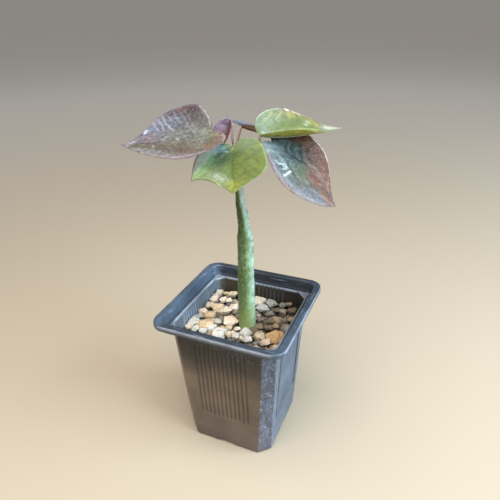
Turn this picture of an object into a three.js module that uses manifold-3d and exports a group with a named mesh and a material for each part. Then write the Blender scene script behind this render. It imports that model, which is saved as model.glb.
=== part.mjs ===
// A young succulent plant with heart-shaped leaves in a square plastic nursery pot.
// Units are millimetres and +Z is up. While it is built, the pot's base is centred on the
// origin; at the end the whole plant is shifted so that the origin is under its middle.

import * as THREE from 'three';
import { mergeVertices } from 'three/addons/utils/BufferGeometryUtils.js';
import Module from 'manifold-3d';

const manifold = await Module();
manifold.setup();

// Driving dimensions of the pot
const POT_HEIGHT = 80;
const RIM_HALF = 35;
const RIM_CORNER_RADIUS = 7.5;
const BASE_HALF = 24;
const WALL_TOP_HALF = 28.6;
const WALL_TOP = 74;
const WALL_THICKNESS = 0.9;
const CORNER_CUT = 5.2;
const CORNER_EASE = 0.7;
const FOOT_ROUND = 1.3;
const FLOOR_UNDERSIDE = 2.6;
const FLOOR_TOP = 3.6;
const RIB_COUNT = 11;
const RIB_PITCH = 2.45;
const RIB_DEPTH = 0.55;
const RIBS_FROM = 20;
const RIBS_TO = 70;
const RIB_RUNOUT = 2;
const SKIRT_DEPTH = 2.9;
const RIM_SKIN = 0.9;
const RIM_BAND_HALF = 31.6;
const LEDGE_CORNER_RADIUS = 9.5;
const ARCH_HALF_WIDTH = 9.5;
const DRAIN_HOLE_RADIUS = 3;
const DRAIN_HOLE_RING = 11;
const PAD_FROM_MIDDLE = 16;
const EDGE_BAND = 1.8;

// Driving dimensions of what fills the pot
const CLEARANCE = 0.3;
const MIX_TOP = 60;
const STONE_GRID = 10;
const STONE_SMALL = 2.1;
const STONE_LARGE = 4.0;
const STONE_CENTRES = 64.1;
const STONE_SCATTER = 0.8;
const BED_TOP = 63;
const HOLE_TOP = 75;

// Driving dimensions of the plant
const BLADE_THICKNESS = 0.7;
const STEM_SIDES = 16;
const STALK_SIDES = 6;
const STALK_STEPS = 22;
const MIDRIB_DROP = 0.45;

// Stem axis: where it passes at each height, and its radius there. It starts at the root end.
const STEM = [
  { at: [3.0, 0.6, 30], radius: 1.2 },
  { at: [3.0, 0.6, 38], radius: 2.8 },
  { at: [3.0, 0.5, 48], radius: 4.2 },
  { at: [3.0, 0.4, 58], radius: 4.6 },
  { at: [3.0, 0.4, 66], radius: 4.5 },
  { at: [2.9, 0.3, 81], radius: 4.3 },
  { at: [3.0, 0.3, 100], radius: 4.1 },
  { at: [3.0, 0.3, 116.5], radius: 3.9 },
  { at: [2.8, 0.3, 120], radius: 3.3 },
  { at: [2.6, 0.2, 123], radius: 2.9 },
  { at: [2.1, 0.0, 129], radius: 2.7 },
  { at: [1.5, -0.3, 135], radius: 2.4 },
  { at: [0.9, -0.5, 141], radius: 2.0 },
  { at: [0.1, -0.8, 150], radius: 1.8 },
  { at: [-0.7, -1.0, 159], radius: 1.5 },
  { at: [-0.9, -0.8, 162.6], radius: 0.8 },
];

// Leaf scars and nodes on the stem: angle round it, height, how far the bump stands out
const SCARS = [
  { angle: 5, height: 118, rise: 0.5 },
  { angle: 170, height: 118, rise: 0.45 },
  { angle: 265, height: 119, rise: 0.4 },
  { angle: 20, height: 111, rise: 0.25 },
  { angle: 15, height: 129.5, rise: 0.5 },
  { angle: 230, height: 135, rise: 0.3 },
];
const SCAR_WIDTH = 35;
const SCAR_HEIGHT = 1.6;

// Leaves. `base` is where the blade meets its stalk. `heading`, `pitch` and `roll` are in
// degrees, and turn the blade's midrib and upper side. Seen from above with the tip pointing
// away, `right` and `left` are the two halves. Their width is in millimetres; the lobe behind
// the base, the belly and the tip shape the outline as shares of the length and width; `fold`
// lifts the half in degrees, and `wave` lifts its edge in millimetres, once and twice along it.
const LEAVES = {
  leaf_left: {
    color: 0x8f7f86, base: [-8, -6.9, 169.9], heading: 211.5, pitch: -12.5, roll: 20.5,
    length: 39.8, widest: 0.23, cup: 9.5, bend: -7.5, twist: -3.5, sweep: 0.11,
    right: { width: 19.5, lobe: 0.03, belly: 0.33, tip: [0.06, 0.27], fold: 8.5, wave: [-1.9, -2] },
    left: { width: 20, lobe: 0.13, belly: 0.27, tip: [0.23, 0.07], fold: 4.5, wave: [-1.5, 0] },
    stalk: { from: 153, via: [[-3.5, -3.4, 160]], radius: 0.8 },
  },
  leaf_front: {
    color: 0x9aa83f, base: [4.4, -13.1, 165.3], heading: 292.5, pitch: -16.5, roll: -9,
    length: 34.6, widest: 0.29, cup: -14, bend: -6, twist: -6, sweep: -0.04,
    right: { width: 19.3, lobe: 0.16, belly: 0.17, tip: [0.2, 0.22], fold: 4.5, wave: [-2, -2] },
    left: { width: 14.1, lobe: 0.18, belly: 0.3, tip: [0.21, 0.11], fold: 8, wave: [-1.6, -0.2] },
    stalk: { from: 149, via: [[1.9, -6.5, 157]], radius: 0.8 },
  },
  leaf_right_upper: {
    color: 0x93ab55, base: [10.14, 3.29, 166.78], heading: 39.8, pitch: -7.1, roll: -6.7,
    length: 41.5, widest: 0.27, cup: 2.1, bend: -10.4, twist: 4.7, sweep: -0.1,
    right: { width: 15.7, lobe: 0.05, belly: 0.25, tip: [0.14, 0.22], fold: 23.7, wave: [1, 0.44] },
    left: { width: 15.4, lobe: 0.05, belly: 0.25, tip: [0.14, 0.26], fold: 28.8, wave: [0.67, 0.1] },
    stalk: { from: 155, via: [[6, 1.6, 158.6], [9.9, 2.9, 163.3]], radius: 0.75 },
  },
  leaf_right_lower: {
    color: 0x6f7f7c, base: [13.97, 7.35, 163.5], heading: 6.7, pitch: -24.3, roll: -8.9,
    length: 40.8, widest: 0.42, cup: -5.8, bend: 31.1, twist: 12.5, sweep: 0.11,
    right: { width: 22.8, lobe: 0.08, belly: 0.35, tip: [0.23, 0.09], fold: 15.6, wave: [-2.5, -1.5] },
    left: { width: 14.4, lobe: 0.06, belly: 0.36, tip: [0.06, 0.3], fold: 15.3, wave: [1.8, 1.4] },
    stalk: { from: 146, via: [[7, 3, 156]], radius: 0.8 },
  },
  young_leaf_left: {
    color: 0x9c5f6b, base: [-5.2, 5.2, 172.4], heading: 111.5, pitch: -74.5, roll: 66.5,
    length: 13.9, widest: 0.3, cup: -3, bend: -34, twist: -4, sweep: 0,
    right: { width: 6.8, lobe: 0.04, belly: 0.28, tip: [0.21, 0.12], fold: 45, wave: [-0.2, -0.5] },
    left: { width: 9, lobe: 0.14, belly: 0.26, tip: [0.15, 0.2], fold: 34, wave: [0.2, 0.3] },
    stalk: { from: 160.5, via: [[-2.5, 1.3, 164.4], [-3.5, 3.9, 168.9]], radius: 0.45 },
  },
  young_leaf_right: {
    color: 0xa5714f, base: [-2.1, 11.8, 168.1], heading: 56.3, pitch: -22.9, roll: 1.9,
    length: 25.4, widest: 0.21, cup: -2.4, bend: -5.6, twist: 7.1, sweep: 0.01,
    right: { width: 9.2, lobe: 0.08, belly: 0.25, tip: [0.15, 0.2], fold: 14.8, wave: [0.1, 0.2] },
    left: { width: 10.7, lobe: 0.16, belly: 0.25, tip: [0.15, 0.2], fold: 12.5, wave: [0.7, 0.4] },
    stalk: { from: 161, via: [[-0.3, 1.7, 163.8], [-1.2, 6.5, 166.4]], radius: 0.45 },
  },
};

// A repeatable stream of numbers from 0 to 1
function numberStream(seed) {
  let state = seed >>> 0;
  return () => {
    state = (Math.imul(state, 1664525) + 1013904223) >>> 0;
    return state / 4294967296;
  };
}

const clamp = THREE.MathUtils.clamp;
const radians = THREE.MathUtils.degToRad;

function geometryFrom(points, triangles) {
  const geometry = new THREE.BufferGeometry();
  geometry.setAttribute('position', new THREE.Float32BufferAttribute(points.flat(), 3));
  geometry.setIndex(triangles.flat());
  return geometry;
}

function solidFrom(geometry) {
  const bare = geometry.clone();
  bare.deleteAttribute('normal');
  bare.deleteAttribute('uv');
  const merged = mergeVertices(bare, 1e-5);
  return new manifold.Manifold(new manifold.Mesh({
    numProp: 3,
    vertProperties: new Float32Array(merged.attributes.position.array),
    triVerts: new Uint32Array(merged.index.array),
  }));
}

function geometryOf(solid) {
  const mesh = solid.getMesh();
  const geometry = new THREE.BufferGeometry();
  geometry.setAttribute('position', new THREE.BufferAttribute(mesh.vertProperties, 3));
  geometry.setIndex(new THREE.BufferAttribute(mesh.triVerts, 1));
  geometry.computeVertexNormals();
  return geometry;
}

// The largest of a solid's separate bodies: loose scraps that a cut leaves are dropped
function largestBody(solid) {
  return solid.decompose().reduce((best, body) => (body.volume() > best.volume() ? body : best));
}

// Skins a stack of closed loops that all have the same number of points and turn
// anticlockwise seen from the far end of the stack. The ends are closed with a fan,
// or the last loop joins the first when the stack is a ring.
function skin(loops, isRing = false) {
  const count = loops[0].length;
  const points = loops.flat();
  const triangles = [];
  const joins = isRing ? loops.length : loops.length - 1;
  for (let level = 0; level < joins; level++) {
    const low = level * count;
    const high = ((level + 1) % loops.length) * count;
    for (let i = 0; i < count; i++) {
      const next = (i + 1) % count;
      triangles.push([low + i, low + next, high + next], [low + i, high + next, high + i]);
    }
  }
  if (!isRing) {
    const last = (loops.length - 1) * count;
    const middle = (loop) => [0, 1, 2].map((k) => loop.reduce((sum, p) => sum + p[k], 0) / count);
    const bottom = points.push(middle(loops[0])) - 1;
    const top = points.push(middle(loops[loops.length - 1])) - 1;
    for (let i = 0; i < count; i++) {
      const next = (i + 1) % count;
      triangles.push([bottom, next, i], [top, last + i, last + next]);
    }
  }
  return geometryFrom(points, triangles);
}

// Pot walls

function wallHalf(z) {
  return BASE_HALF + (WALL_TOP_HALF - BASE_HALF) * (z / WALL_TOP);
}

// One loop round the pot at height z. The four sides carry the ribs' grooves, and the
// corners are cut off with a slightly eased edge.
function wallLoop(z, half, cut, groove) {
  const edge = half - cut;
  const side = [[-(edge + CORNER_EASE * 0.3), half - CORNER_EASE * 0.4], [-(edge - CORNER_EASE), half]];
  for (let i = 0; i <= 2 * RIB_COUNT; i++) {
    const across = (i / 2 - RIB_COUNT / 2) * RIB_PITCH;
    side.push([across, half - (i % 2 === 0 ? groove : 0)]);
  }
  side.push([edge - CORNER_EASE, half], [edge + CORNER_EASE * 0.3, half - CORNER_EASE * 0.4]);
  const loop = [];
  for (let face = 0; face < 4; face++) {
    const turn = -Math.PI / 2 * (face + 2);
    const cos = Math.round(Math.cos(turn));
    const sin = Math.round(Math.sin(turn));
    for (const [across, out] of side) {
      loop.push([across * cos - out * sin, across * sin + out * cos, z]);
    }
  }
  return loop.reverse();
}

function roundedLoop(z, half, radius, steps = 6) {
  const loop = [];
  for (let corner = 0; corner < 4; corner++) {
    for (let i = 0; i <= steps; i++) {
      const angle = (corner + i / steps) * Math.PI / 2;
      const cx = (corner === 0 || corner === 3 ? 1 : -1) * (half - radius);
      const cy = (corner < 2 ? 1 : -1) * (half - radius);
      loop.push([cx + radius * Math.cos(angle), cy + radius * Math.sin(angle), z]);
    }
  }
  return loop;
}

// The walls in one closed skin: up the outside from the feet, over the top edge, down the
// inside to the floor, with the grooves between the ribs sunk in both faces
function makeWalls() {
  const inner = (z) => wallHalf(z) - WALL_THICKNESS;
  const wideCut = CORNER_CUT + 0.4;
  const outside = [
    wallLoop(0, BASE_HALF - FOOT_ROUND, wideCut, 0),
    wallLoop(0.3 * FOOT_ROUND, BASE_HALF - 0.3 * FOOT_ROUND, wideCut, 0),
    wallLoop(FOOT_ROUND, wallHalf(FOOT_ROUND), wideCut, 0),
    wallLoop(RIBS_FROM, wallHalf(RIBS_FROM), CORNER_CUT, 0),
    wallLoop(RIBS_FROM + RIB_RUNOUT, wallHalf(RIBS_FROM + RIB_RUNOUT), CORNER_CUT, RIB_DEPTH),
    wallLoop(RIBS_TO - RIB_RUNOUT, wallHalf(RIBS_TO - RIB_RUNOUT), CORNER_CUT, RIB_DEPTH),
    wallLoop(RIBS_TO, wallHalf(RIBS_TO), CORNER_CUT, 0),
    wallLoop(WALL_TOP, wallHalf(WALL_TOP), CORNER_CUT, 0),
  ];
  const inside = [
    wallLoop(WALL_TOP + 0.6, inner(WALL_TOP) + 0.2, CORNER_CUT, 0),
    wallLoop(WALL_TOP, inner(WALL_TOP), CORNER_CUT, 0),
    wallLoop(WALL_TOP - RIB_RUNOUT, inner(WALL_TOP - RIB_RUNOUT), CORNER_CUT, RIB_DEPTH),
    wallLoop(RIBS_FROM + RIB_RUNOUT, inner(RIBS_FROM + RIB_RUNOUT), CORNER_CUT, RIB_DEPTH),
    wallLoop(RIBS_FROM, inner(RIBS_FROM), CORNER_CUT, 0),
    wallLoop(FLOOR_TOP, inner(FLOOR_TOP), CORNER_CUT, 0),
  ];
  return solidFrom(skin([...outside, ...inside]));
}

// The rim as a ring: a step outwards, a short upright band, a flat top and a skirt turned down.
// The step's inner edge is rounder at the corners, so that it meets the cut-off corners below.
function makeRim() {
  const lip = POT_HEIGHT - RIM_SKIN;
  const hem = POT_HEIGHT - SKIRT_DEPTH;
  const profile = [
    [WALL_TOP_HALF - 0.1, WALL_TOP - 0.6], [RIM_BAND_HALF, WALL_TOP], [RIM_BAND_HALF + 0.5, lip],
    [RIM_HALF - RIM_SKIN, lip], [RIM_HALF - RIM_SKIN, hem], [RIM_HALF, hem], [RIM_HALF, lip],
    [RIM_HALF - 0.3, POT_HEIGHT - 0.3], [RIM_HALF - 1, POT_HEIGHT], [RIM_BAND_HALF, POT_HEIGHT],
    [RIM_BAND_HALF - 0.45, POT_HEIGHT - 0.5], [RIM_BAND_HALF - 1, WALL_TOP + 1],
    [WALL_TOP_HALF - 0.6, WALL_TOP + 0.7],
  ];
  const radius = (half) => (
    half < WALL_TOP_HALF ? LEDGE_CORNER_RADIUS : RIM_CORNER_RADIUS - (RIM_HALF - half) * 0.7);
  return solidFrom(skin(profile.map(([half, z]) => roundedLoop(z, half, radius(half))), true));
}

// The shallow arch between two feet, cut straight through both sides
function makeArchCutter() {
  const arch = new THREE.Shape();
  arch.moveTo(-ARCH_HALF_WIDTH, -1);
  for (let i = 0; i <= 8; i++) {
    const across = (i / 4 - 1) * ARCH_HALF_WIDTH;
    arch.lineTo(across, (FLOOR_UNDERSIDE / 2) * (1 + Math.cos(Math.PI * across / ARCH_HALF_WIDTH)));
  }
  arch.lineTo(ARCH_HALF_WIDTH, -1);
  const cutter = new THREE.ExtrudeGeometry(arch, { depth: 2 * RIM_HALF, bevelEnabled: false });
  cutter.translate(0, 0, -RIM_HALF);
  cutter.rotateX(Math.PI / 2);
  return cutter;
}

function makePot() {
  let pot = makeWalls().add(makeRim());

  // Two arches and two crossed recesses under the floor leave a flat pad at each corner
  for (const turn of [0, Math.PI / 2]) {
    const arch = makeArchCutter();
    const recess = new THREE.BoxGeometry(
      2 * PAD_FROM_MIDDLE, 2 * (BASE_HALF - EDGE_BAND), 2 * FLOOR_UNDERSIDE);
    for (const cutter of [arch, recess]) {
      cutter.rotateZ(turn);
      pot = pot.subtract(solidFrom(cutter));
    }
  }

  // Drainage holes: one in the middle and four round it
  const drains = [[0, 0], [1, 0], [0, 1], [-1, 0], [0, -1]];
  for (const [x, y] of drains) {
    const drill = new THREE.CylinderGeometry(DRAIN_HOLE_RADIUS, DRAIN_HOLE_RADIUS, 3 * FLOOR_TOP, 16);
    drill.rotateX(Math.PI / 2);
    drill.translate(x * DRAIN_HOLE_RING, y * DRAIN_HOLE_RING, FLOOR_TOP);
    pot = pot.subtract(solidFrom(drill));
  }
  return geometryOf(pot);
}

// The room inside the pot between two heights, kept clear of the ribs by the clearance
function potRoom(from, to) {
  const half = (z) => wallHalf(z) - WALL_THICKNESS - RIB_DEPTH - CLEARANCE;
  const levels = [from, to].map((z) => {
    const reach = half(z);
    const cut = CORNER_CUT + 0.2;
    const corners = [[reach, -(reach - cut)], [reach, reach - cut]];
    const loop = [];
    for (let face = 0; face < 4; face++) {
      const cos = Math.round(Math.cos(face * Math.PI / 2));
      const sin = Math.round(Math.sin(face * Math.PI / 2));
      for (const [x, y] of corners) {
        loop.push([x * cos - y * sin, x * sin + y * cos, z]);
      }
    }
    return loop;
  });
  return solidFrom(skin(levels));
}

// Stem

// The stem's centre and radius at a height, between the two stations that it lies between
function stemAt(z) {
  let i = 1;
  while (i < STEM.length - 1 && STEM[i].at[2] < z) {
    i++;
  }
  const share = clamp((z - STEM[i - 1].at[2]) / (STEM[i].at[2] - STEM[i - 1].at[2]), 0, 1);
  const centre = new THREE.Vector3(...STEM[i - 1].at).lerp(new THREE.Vector3(...STEM[i].at), share);
  return { centre, radius: THREE.MathUtils.lerp(STEM[i - 1].radius, STEM[i].radius, share) };
}

// How far a point is from the stem's surface, measured level
function gapToStem(point) {
  const { centre, radius } = stemAt(point.z);
  return Math.hypot(point.x - centre.x, point.y - centre.y) - radius;
}

function scarRise(angle, z) {
  let rise = 0;
  for (const scar of SCARS) {
    const across = THREE.MathUtils.euclideanModulo(angle - scar.angle + 180, 360) - 180;
    rise += scar.rise * Math.exp(-((across / SCAR_WIDTH) ** 2) - ((z - scar.height) / SCAR_HEIGHT) ** 2);
  }
  return rise;
}

// Level rings up the stem, grown by `extra` for the hole that the stem stands in
function stemLoops(heights, extra) {
  return heights.map((z) => {
    const { centre, radius } = stemAt(z);
    const loop = [];
    for (let i = 0; i < STEM_SIDES; i++) {
      const angle = 360 * i / STEM_SIDES;
      const reach = radius + extra + scarRise(angle, z);
      const turn = radians(angle);
      loop.push([centre.x + reach * Math.cos(turn), centre.y + reach * Math.sin(turn), z]);
    }
    return loop;
  });
}

const ROOT_END = STEM[0].at[2];
const STEM_TOP = STEM[STEM.length - 1].at[2];
const STEM_HEIGHTS = [
  ROOT_END, 34, 38, 43, 48, 58, 66, 81, 100, 108, 111, 114, 116.5, 118, 119.5, 121, 123,
  126, 128, 129.5, 131, 133, 135, 137, 141, 150, 155, 159, 161, STEM_TOP,
];

function makeStem() {
  return skin(stemLoops(STEM_HEIGHTS, 0));
}

function stemHole() {
  const buried = STEM_HEIGHTS.filter((z) => z < HOLE_TOP);
  const loops = stemLoops([ROOT_END - CLEARANCE, ...buried.slice(1), HOLE_TOP], CLEARANCE);
  return solidFrom(skin(loops));
}

function makePottingMix() {
  return geometryOf(potRoom(FLOOR_TOP, MIX_TOP).subtract(stemHole()));
}

// Gravel

// One angular chip: an icosahedron with its corners moved in and out, stretched and turned
function makeStone(draw, centre, size) {
  const geometry = new THREE.IcosahedronGeometry(1, 0);
  geometry.deleteAttribute('normal');
  geometry.deleteAttribute('uv');
  const stone = mergeVertices(geometry, 1e-4);
  const position = stone.attributes.position;
  for (let i = 0; i < position.count; i++) {
    const reach = 0.8 + 0.4 * draw();
    position.setXYZ(i, position.getX(i) * reach, position.getY(i) * reach, position.getZ(i) * reach);
  }
  const stretch = new THREE.Vector3(1.1 + 0.35 * draw(), 0.85 + 0.25 * draw(), 0.6 + 0.3 * draw());
  stone.scale(size * stretch.x, size * stretch.y, size * stretch.z);
  stone.rotateX((draw() - 0.5) * 1.4);
  stone.rotateY((draw() - 0.5) * 1.4);
  stone.rotateZ(draw() * 2 * Math.PI);
  stone.translate(...centre);
  return stone;
}

function makeGravel() {
  const draw = numberStream(20);
  const room = wallHalf(STONE_CENTRES) - WALL_THICKNESS - RIB_DEPTH;
  const pitch = 2 * room / STONE_GRID;
  let bed = potRoom(MIX_TOP, BED_TOP);
  const stones = [];
  for (let row = 0; row < STONE_GRID; row++) {
    for (let column = 0; column < STONE_GRID; column++) {
      const x = -room + (column + 0.5 + (draw() - 0.5) * STONE_SCATTER) * pitch;
      const y = -room + (row + 0.5 + (draw() - 0.5) * STONE_SCATTER) * pitch;
      const size = STONE_SMALL + (STONE_LARGE - STONE_SMALL) * draw() ** 1.5;
      const z = STONE_CENTRES + (2 * draw() - 1) * STONE_SCATTER;
      stones.push(solidFrom(makeStone(draw, [x, y, z], size)));
    }
  }
  bed = manifold.Manifold.union([bed, ...stones]);
  bed = bed.intersect(potRoom(MIX_TOP, WALL_TOP - 1)).subtract(stemHole());
  return geometryOf(largestBody(bed));
}

// Leaves

// A point on one half of a blade, in the blade's own frame: x to the right, y towards the
// tip, z up. `out` is its distance from the midrib and `along` its place on the midrib.
function bladePoint(leaf, side, out, along) {
  const half = side > 0 ? leaf.right : leaf.left;
  const u = clamp(along / leaf.length, 0, 1);
  const edge = out / half.width;
  const lift = radians(half.fold) + radians(leaf.cup) * edge;
  const wave = edge ** 2 * (half.wave[0] * Math.sin(Math.PI * u) + half.wave[1] * Math.sin(2 * Math.PI * u));
  const across = out * Math.cos(lift) - wave * Math.sin(lift);
  const up = out * Math.sin(lift) + wave * Math.cos(lift);
  const x = side * across + leaf.sweep * leaf.length * u ** 2;
  const curl = radians(leaf.bend) / leaf.length || 1e-6;
  const theta = curl * along;
  const y = Math.sin(theta) / curl + up * Math.sin(theta);
  const z = -(1 - Math.cos(theta)) / curl + up * Math.cos(theta);
  const twist = radians(leaf.twist) * clamp(along / leaf.length, -0.4, 1);
  return new THREE.Vector3(
    x * Math.cos(twist) + up * Math.sin(twist),
    y,
    z - x * Math.sin(twist) + up * (Math.cos(twist) - 1),
  );
}

function bladeFrame(leaf) {
  const heading = radians(leaf.heading);
  const pitch = radians(leaf.pitch);
  const forward = new THREE.Vector3(
    Math.cos(pitch) * Math.cos(heading), Math.cos(pitch) * Math.sin(heading), Math.sin(pitch));
  const right = forward.clone().cross(new THREE.Vector3(0, 0, 1)).normalize();
  const up = right.clone().cross(forward);
  const roll = radians(leaf.roll);
  const x = right.clone().multiplyScalar(Math.cos(roll)).addScaledVector(up, Math.sin(roll));
  const z = right.clone().multiplyScalar(-Math.sin(roll)).addScaledVector(up, Math.cos(roll));
  return new THREE.Matrix4().makeBasis(x, forward, z).setPosition(...leaf.base);
}

// The flat outline of one half from the notch at the base round the lobe to the tip,
// two cubic curves that meet at the widest place
function bladeOutline(leaf, side) {
  const half = side > 0 ? leaf.right : leaf.left;
  const at = (x, y) => new THREE.Vector2(x * half.width, y * leaf.length);
  const path = new THREE.CurvePath();
  path.add(new THREE.CubicBezierCurve(
    at(0, 0), at(0.2, -1.5 * half.lobe), at(1, -1.2 * half.lobe), at(1, leaf.widest)));
  path.add(new THREE.CubicBezierCurve(
    at(1, leaf.widest), at(1, leaf.widest + half.belly), at(half.tip[0], 1 - half.tip[1]), at(0, 1)));
  return path;
}

// The blade as a closed solid: rows run from the base to the tip, and columns from the left
// edge over the midrib to the right edge. Both faces use the same split into triangles.
function makeBlade(leaf, rows, columns) {
  const frame = bladeFrame(leaf);
  const sides = { [-1]: bladeOutline(leaf, -1), 1: bladeOutline(leaf, 1) };
  const place = (row, column) => {
    const side = column < 0 ? -1 : 1;
    const share = Math.abs(column) / columns;
    const rim = sides[side].getPointAt(clamp(row / rows, 0, 1));
    const along = (row / rows) * leaf.length * (1 - share) + rim.y * share;
    return bladePoint(leaf, side, Math.max(rim.x, 0) * share, along);
  };
  const step = 0.02;
  const normalAt = (row, column) => {
    const inside = clamp(row, 0.3, rows - 0.3);
    const middle = clamp(column, -columns + step, columns - step);
    const dr = place(inside + step, middle).sub(place(inside - step, middle));
    const dc = place(inside, middle + step).sub(place(inside, middle - step));
    return dc.cross(dr).normalize();
  };
  const points = [];
  const index = new Map();
  for (const face of [1, -1]) {
    for (let row = 0; row <= rows; row++) {
      for (let column = -columns; column <= columns; column++) {
        const isPole = row === 0 || row === rows;
        if (isPole && column > -columns) {
          index.set(`${face},${row},${column}`, points.length - 1);
          continue;
        }
        const shown = isPole ? 0 : column;
        const point = place(row, shown).addScaledVector(normalAt(row, shown), face * BLADE_THICKNESS / 2);
        points.push(point.applyMatrix4(frame).toArray());
        index.set(`${face},${row},${column}`, points.length - 1);
      }
    }
  }
  const at = (face, row, column) => index.get(`${face},${row},${column}`);
  const triangles = [];
  const add = (a, b, c) => {
    if (a !== b && b !== c && a !== c) {
      triangles.push([a, b, c]);
    }
  };
  for (let row = 0; row < rows; row++) {
    for (let column = -columns; column < columns; column++) {
      for (const face of [1, -1]) {
        const corner = [
          at(face, row, column), at(face, row, column + 1),
          at(face, row + 1, column + 1), at(face, row + 1, column),
        ];
        const [a, b, c, d] = corner;
        if (face > 0) {
          add(a, b, c);
          add(a, c, d);
        } else {
          add(a, c, b);
          add(a, d, c);
        }
      }
    }
    for (const [column, outward] of [[columns, 1], [-columns, -1]]) {
      const quad = [at(1, row, column), at(-1, row, column), at(-1, row + 1, column), at(1, row + 1, column)];
      const [a, b, c, d] = outward > 0 ? quad : [quad[0], quad[3], quad[2], quad[1]];
      add(a, b, c);
      add(a, c, d);
    }
  }
  return geometryFrom(points, triangles);
}

// The stalk leaves the stem, rises along its route to the blade's base and runs on under
// the blade as its midrib, getting thinner
function makeStalk(leaf) {
  const frame = bladeFrame(leaf);
  const { from, via, radius } = leaf.stalk;
  const root = stemAt(from).centre;
  const heading = new THREE.Vector3(...via[0]).sub(root).normalize();
  const start = root.clone();
  while (gapToStem(start) < CLEARANCE + radius * Math.abs(heading.z)) {
    start.addScaledVector(heading, 0.05);
  }
  const under = (share) => {
    const point = bladePoint(leaf, 1, 0, share * leaf.length);
    return point.setZ(point.z - MIDRIB_DROP).applyMatrix4(frame);
  };
  const turns = via.map((point) => new THREE.Vector3(...point));
  const route = [start, ...turns, under(0), under(0.12), under(0.3), under(0.55)];
  const curve = new THREE.CatmullRomCurve3(route, false, 'centripetal');
  const frames = curve.computeFrenetFrames(STALK_STEPS, false);
  const loops = [];
  for (let i = 0; i <= STALK_STEPS; i++) {
    const share = i / STALK_STEPS;
    const centre = curve.getPointAt(share);
    const reach = radius * (share < 0.4 ? 1 : THREE.MathUtils.lerp(1, 0.35, (share - 0.4) / 0.6));
    const loop = [];
    for (let k = 0; k < STALK_SIDES; k++) {
      const angle = 2 * Math.PI * k / STALK_SIDES;
      const point = centre.clone()
        .addScaledVector(frames.normals[i], reach * Math.cos(angle))
        .addScaledVector(frames.binormals[i], reach * Math.sin(angle));
      loop.push(point.toArray());
    }
    loops.push(loop);
  }
  return skin(loops);
}

function makeLeaf(leaf) {
  const isYoung = leaf.length < 30;
  const blade = makeBlade(leaf, isYoung ? 8 : 12, isYoung ? 3 : 5);
  return geometryOf(solidFrom(blade).add(solidFrom(makeStalk(leaf))));
}

// The scene graph

function piece(name, geometry, color, roughness) {
  const material = new THREE.MeshStandardMaterial({ color, roughness, metalness: 0 });
  const mesh = new THREE.Mesh(geometry, material);
  mesh.name = name;
  return mesh;
}

const plant = new THREE.Group();
plant.add(piece('pot', makePot(), 0x33373d, 0.45));
plant.add(piece('potting_mix', makePottingMix(), 0x3a2a1f, 0.95));
plant.add(piece('gravel', makeGravel(), 0xcdbb9c, 0.8));
plant.add(piece('stem', makeStem(), 0x7f9f6a, 0.6));
for (const [name, leaf] of Object.entries(LEAVES)) {
  plant.add(piece(name, makeLeaf(leaf), leaf.color, 0.5));
}

const bounds = new THREE.Box3().setFromObject(plant);
const middle = bounds.getCenter(new THREE.Vector3());
plant.position.set(-middle.x, -middle.y, 0);

const group = new THREE.Group();
group.add(plant);

export default group;
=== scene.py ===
# %% [markdown]
# # A young succulent in a square nursery pot
# The plant has a green stem, four heart-shaped leaves and two young ones. It grows in pale
# gravel in a thin black plastic pot. The solid model gives every part its place, and this
# lesson gives each part a finer surface and a finish. Every surface here is worked out as a
# whole array of points, because one formula on a grid is quicker and easier to change than
# thousands of points placed one by one.

import bmesh
import bpy
import numpy as np
from mathutils import Matrix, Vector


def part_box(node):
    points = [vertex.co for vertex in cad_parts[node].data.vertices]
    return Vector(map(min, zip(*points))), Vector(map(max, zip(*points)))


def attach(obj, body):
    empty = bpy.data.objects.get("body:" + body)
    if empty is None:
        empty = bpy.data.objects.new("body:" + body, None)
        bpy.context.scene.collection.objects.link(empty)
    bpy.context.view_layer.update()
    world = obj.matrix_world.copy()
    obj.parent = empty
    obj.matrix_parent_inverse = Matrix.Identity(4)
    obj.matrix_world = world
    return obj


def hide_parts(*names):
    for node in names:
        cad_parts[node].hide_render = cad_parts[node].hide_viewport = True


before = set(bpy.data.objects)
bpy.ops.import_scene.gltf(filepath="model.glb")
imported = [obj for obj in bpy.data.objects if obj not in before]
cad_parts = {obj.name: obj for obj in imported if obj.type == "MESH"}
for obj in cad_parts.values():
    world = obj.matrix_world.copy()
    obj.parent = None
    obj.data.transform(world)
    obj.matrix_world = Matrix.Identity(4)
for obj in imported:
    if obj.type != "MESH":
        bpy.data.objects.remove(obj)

scene = bpy.context.scene
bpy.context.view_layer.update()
pot_low, pot_high = (np.array(corner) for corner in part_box("pot"))
POT_MIDDLE = (pot_low + pot_high) / 2 * [1, 1, 0]


def metres(points):
    """Millimetres from the middle of the pot's base become metres in the model's frame."""
    return np.asarray(points, float) / 1000 + POT_MIDDLE


print("pot middle", POT_MIDDLE.round(5), "pot top", pot_high[2].round(4))

# %% [markdown]
# ## The camera
# The photo looks down on the pot from the right of its front side. A camera can be aimed with a
# constraint, but here its three axes are written into a matrix, since the view was worked out
# from the pot's corners, and the lens was turned a little about its own line of sight.

# %% Camera
CAMERA_PLACE = (86.927, -187.362, 216.633)
AZIMUTH, ELEVATION, CAMERA_ROLL = np.radians([23.478, 27.284, -1.103])
LENS, SENSOR_WIDTH, NEAREST_SEEN = 33.825, 36, 0.01


def unit(vectors):
    """Each vector divided by its own length."""
    return vectors / np.linalg.norm(vectors, axis=-1, keepdims=True)


def set_up(name, data, axes, place):
    """Puts a camera or a lamp in the scene. Its own axes and its place are the columns of its
    matrix, and it looks against its third axis."""
    holder = bpy.data.objects.new(name, data)
    columns = np.eye(4)
    columns[:3] = np.column_stack([*axes, metres(place)])
    holder.matrix_world = Matrix(columns.tolist())
    scene.collection.objects.link(holder)
    return holder


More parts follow.
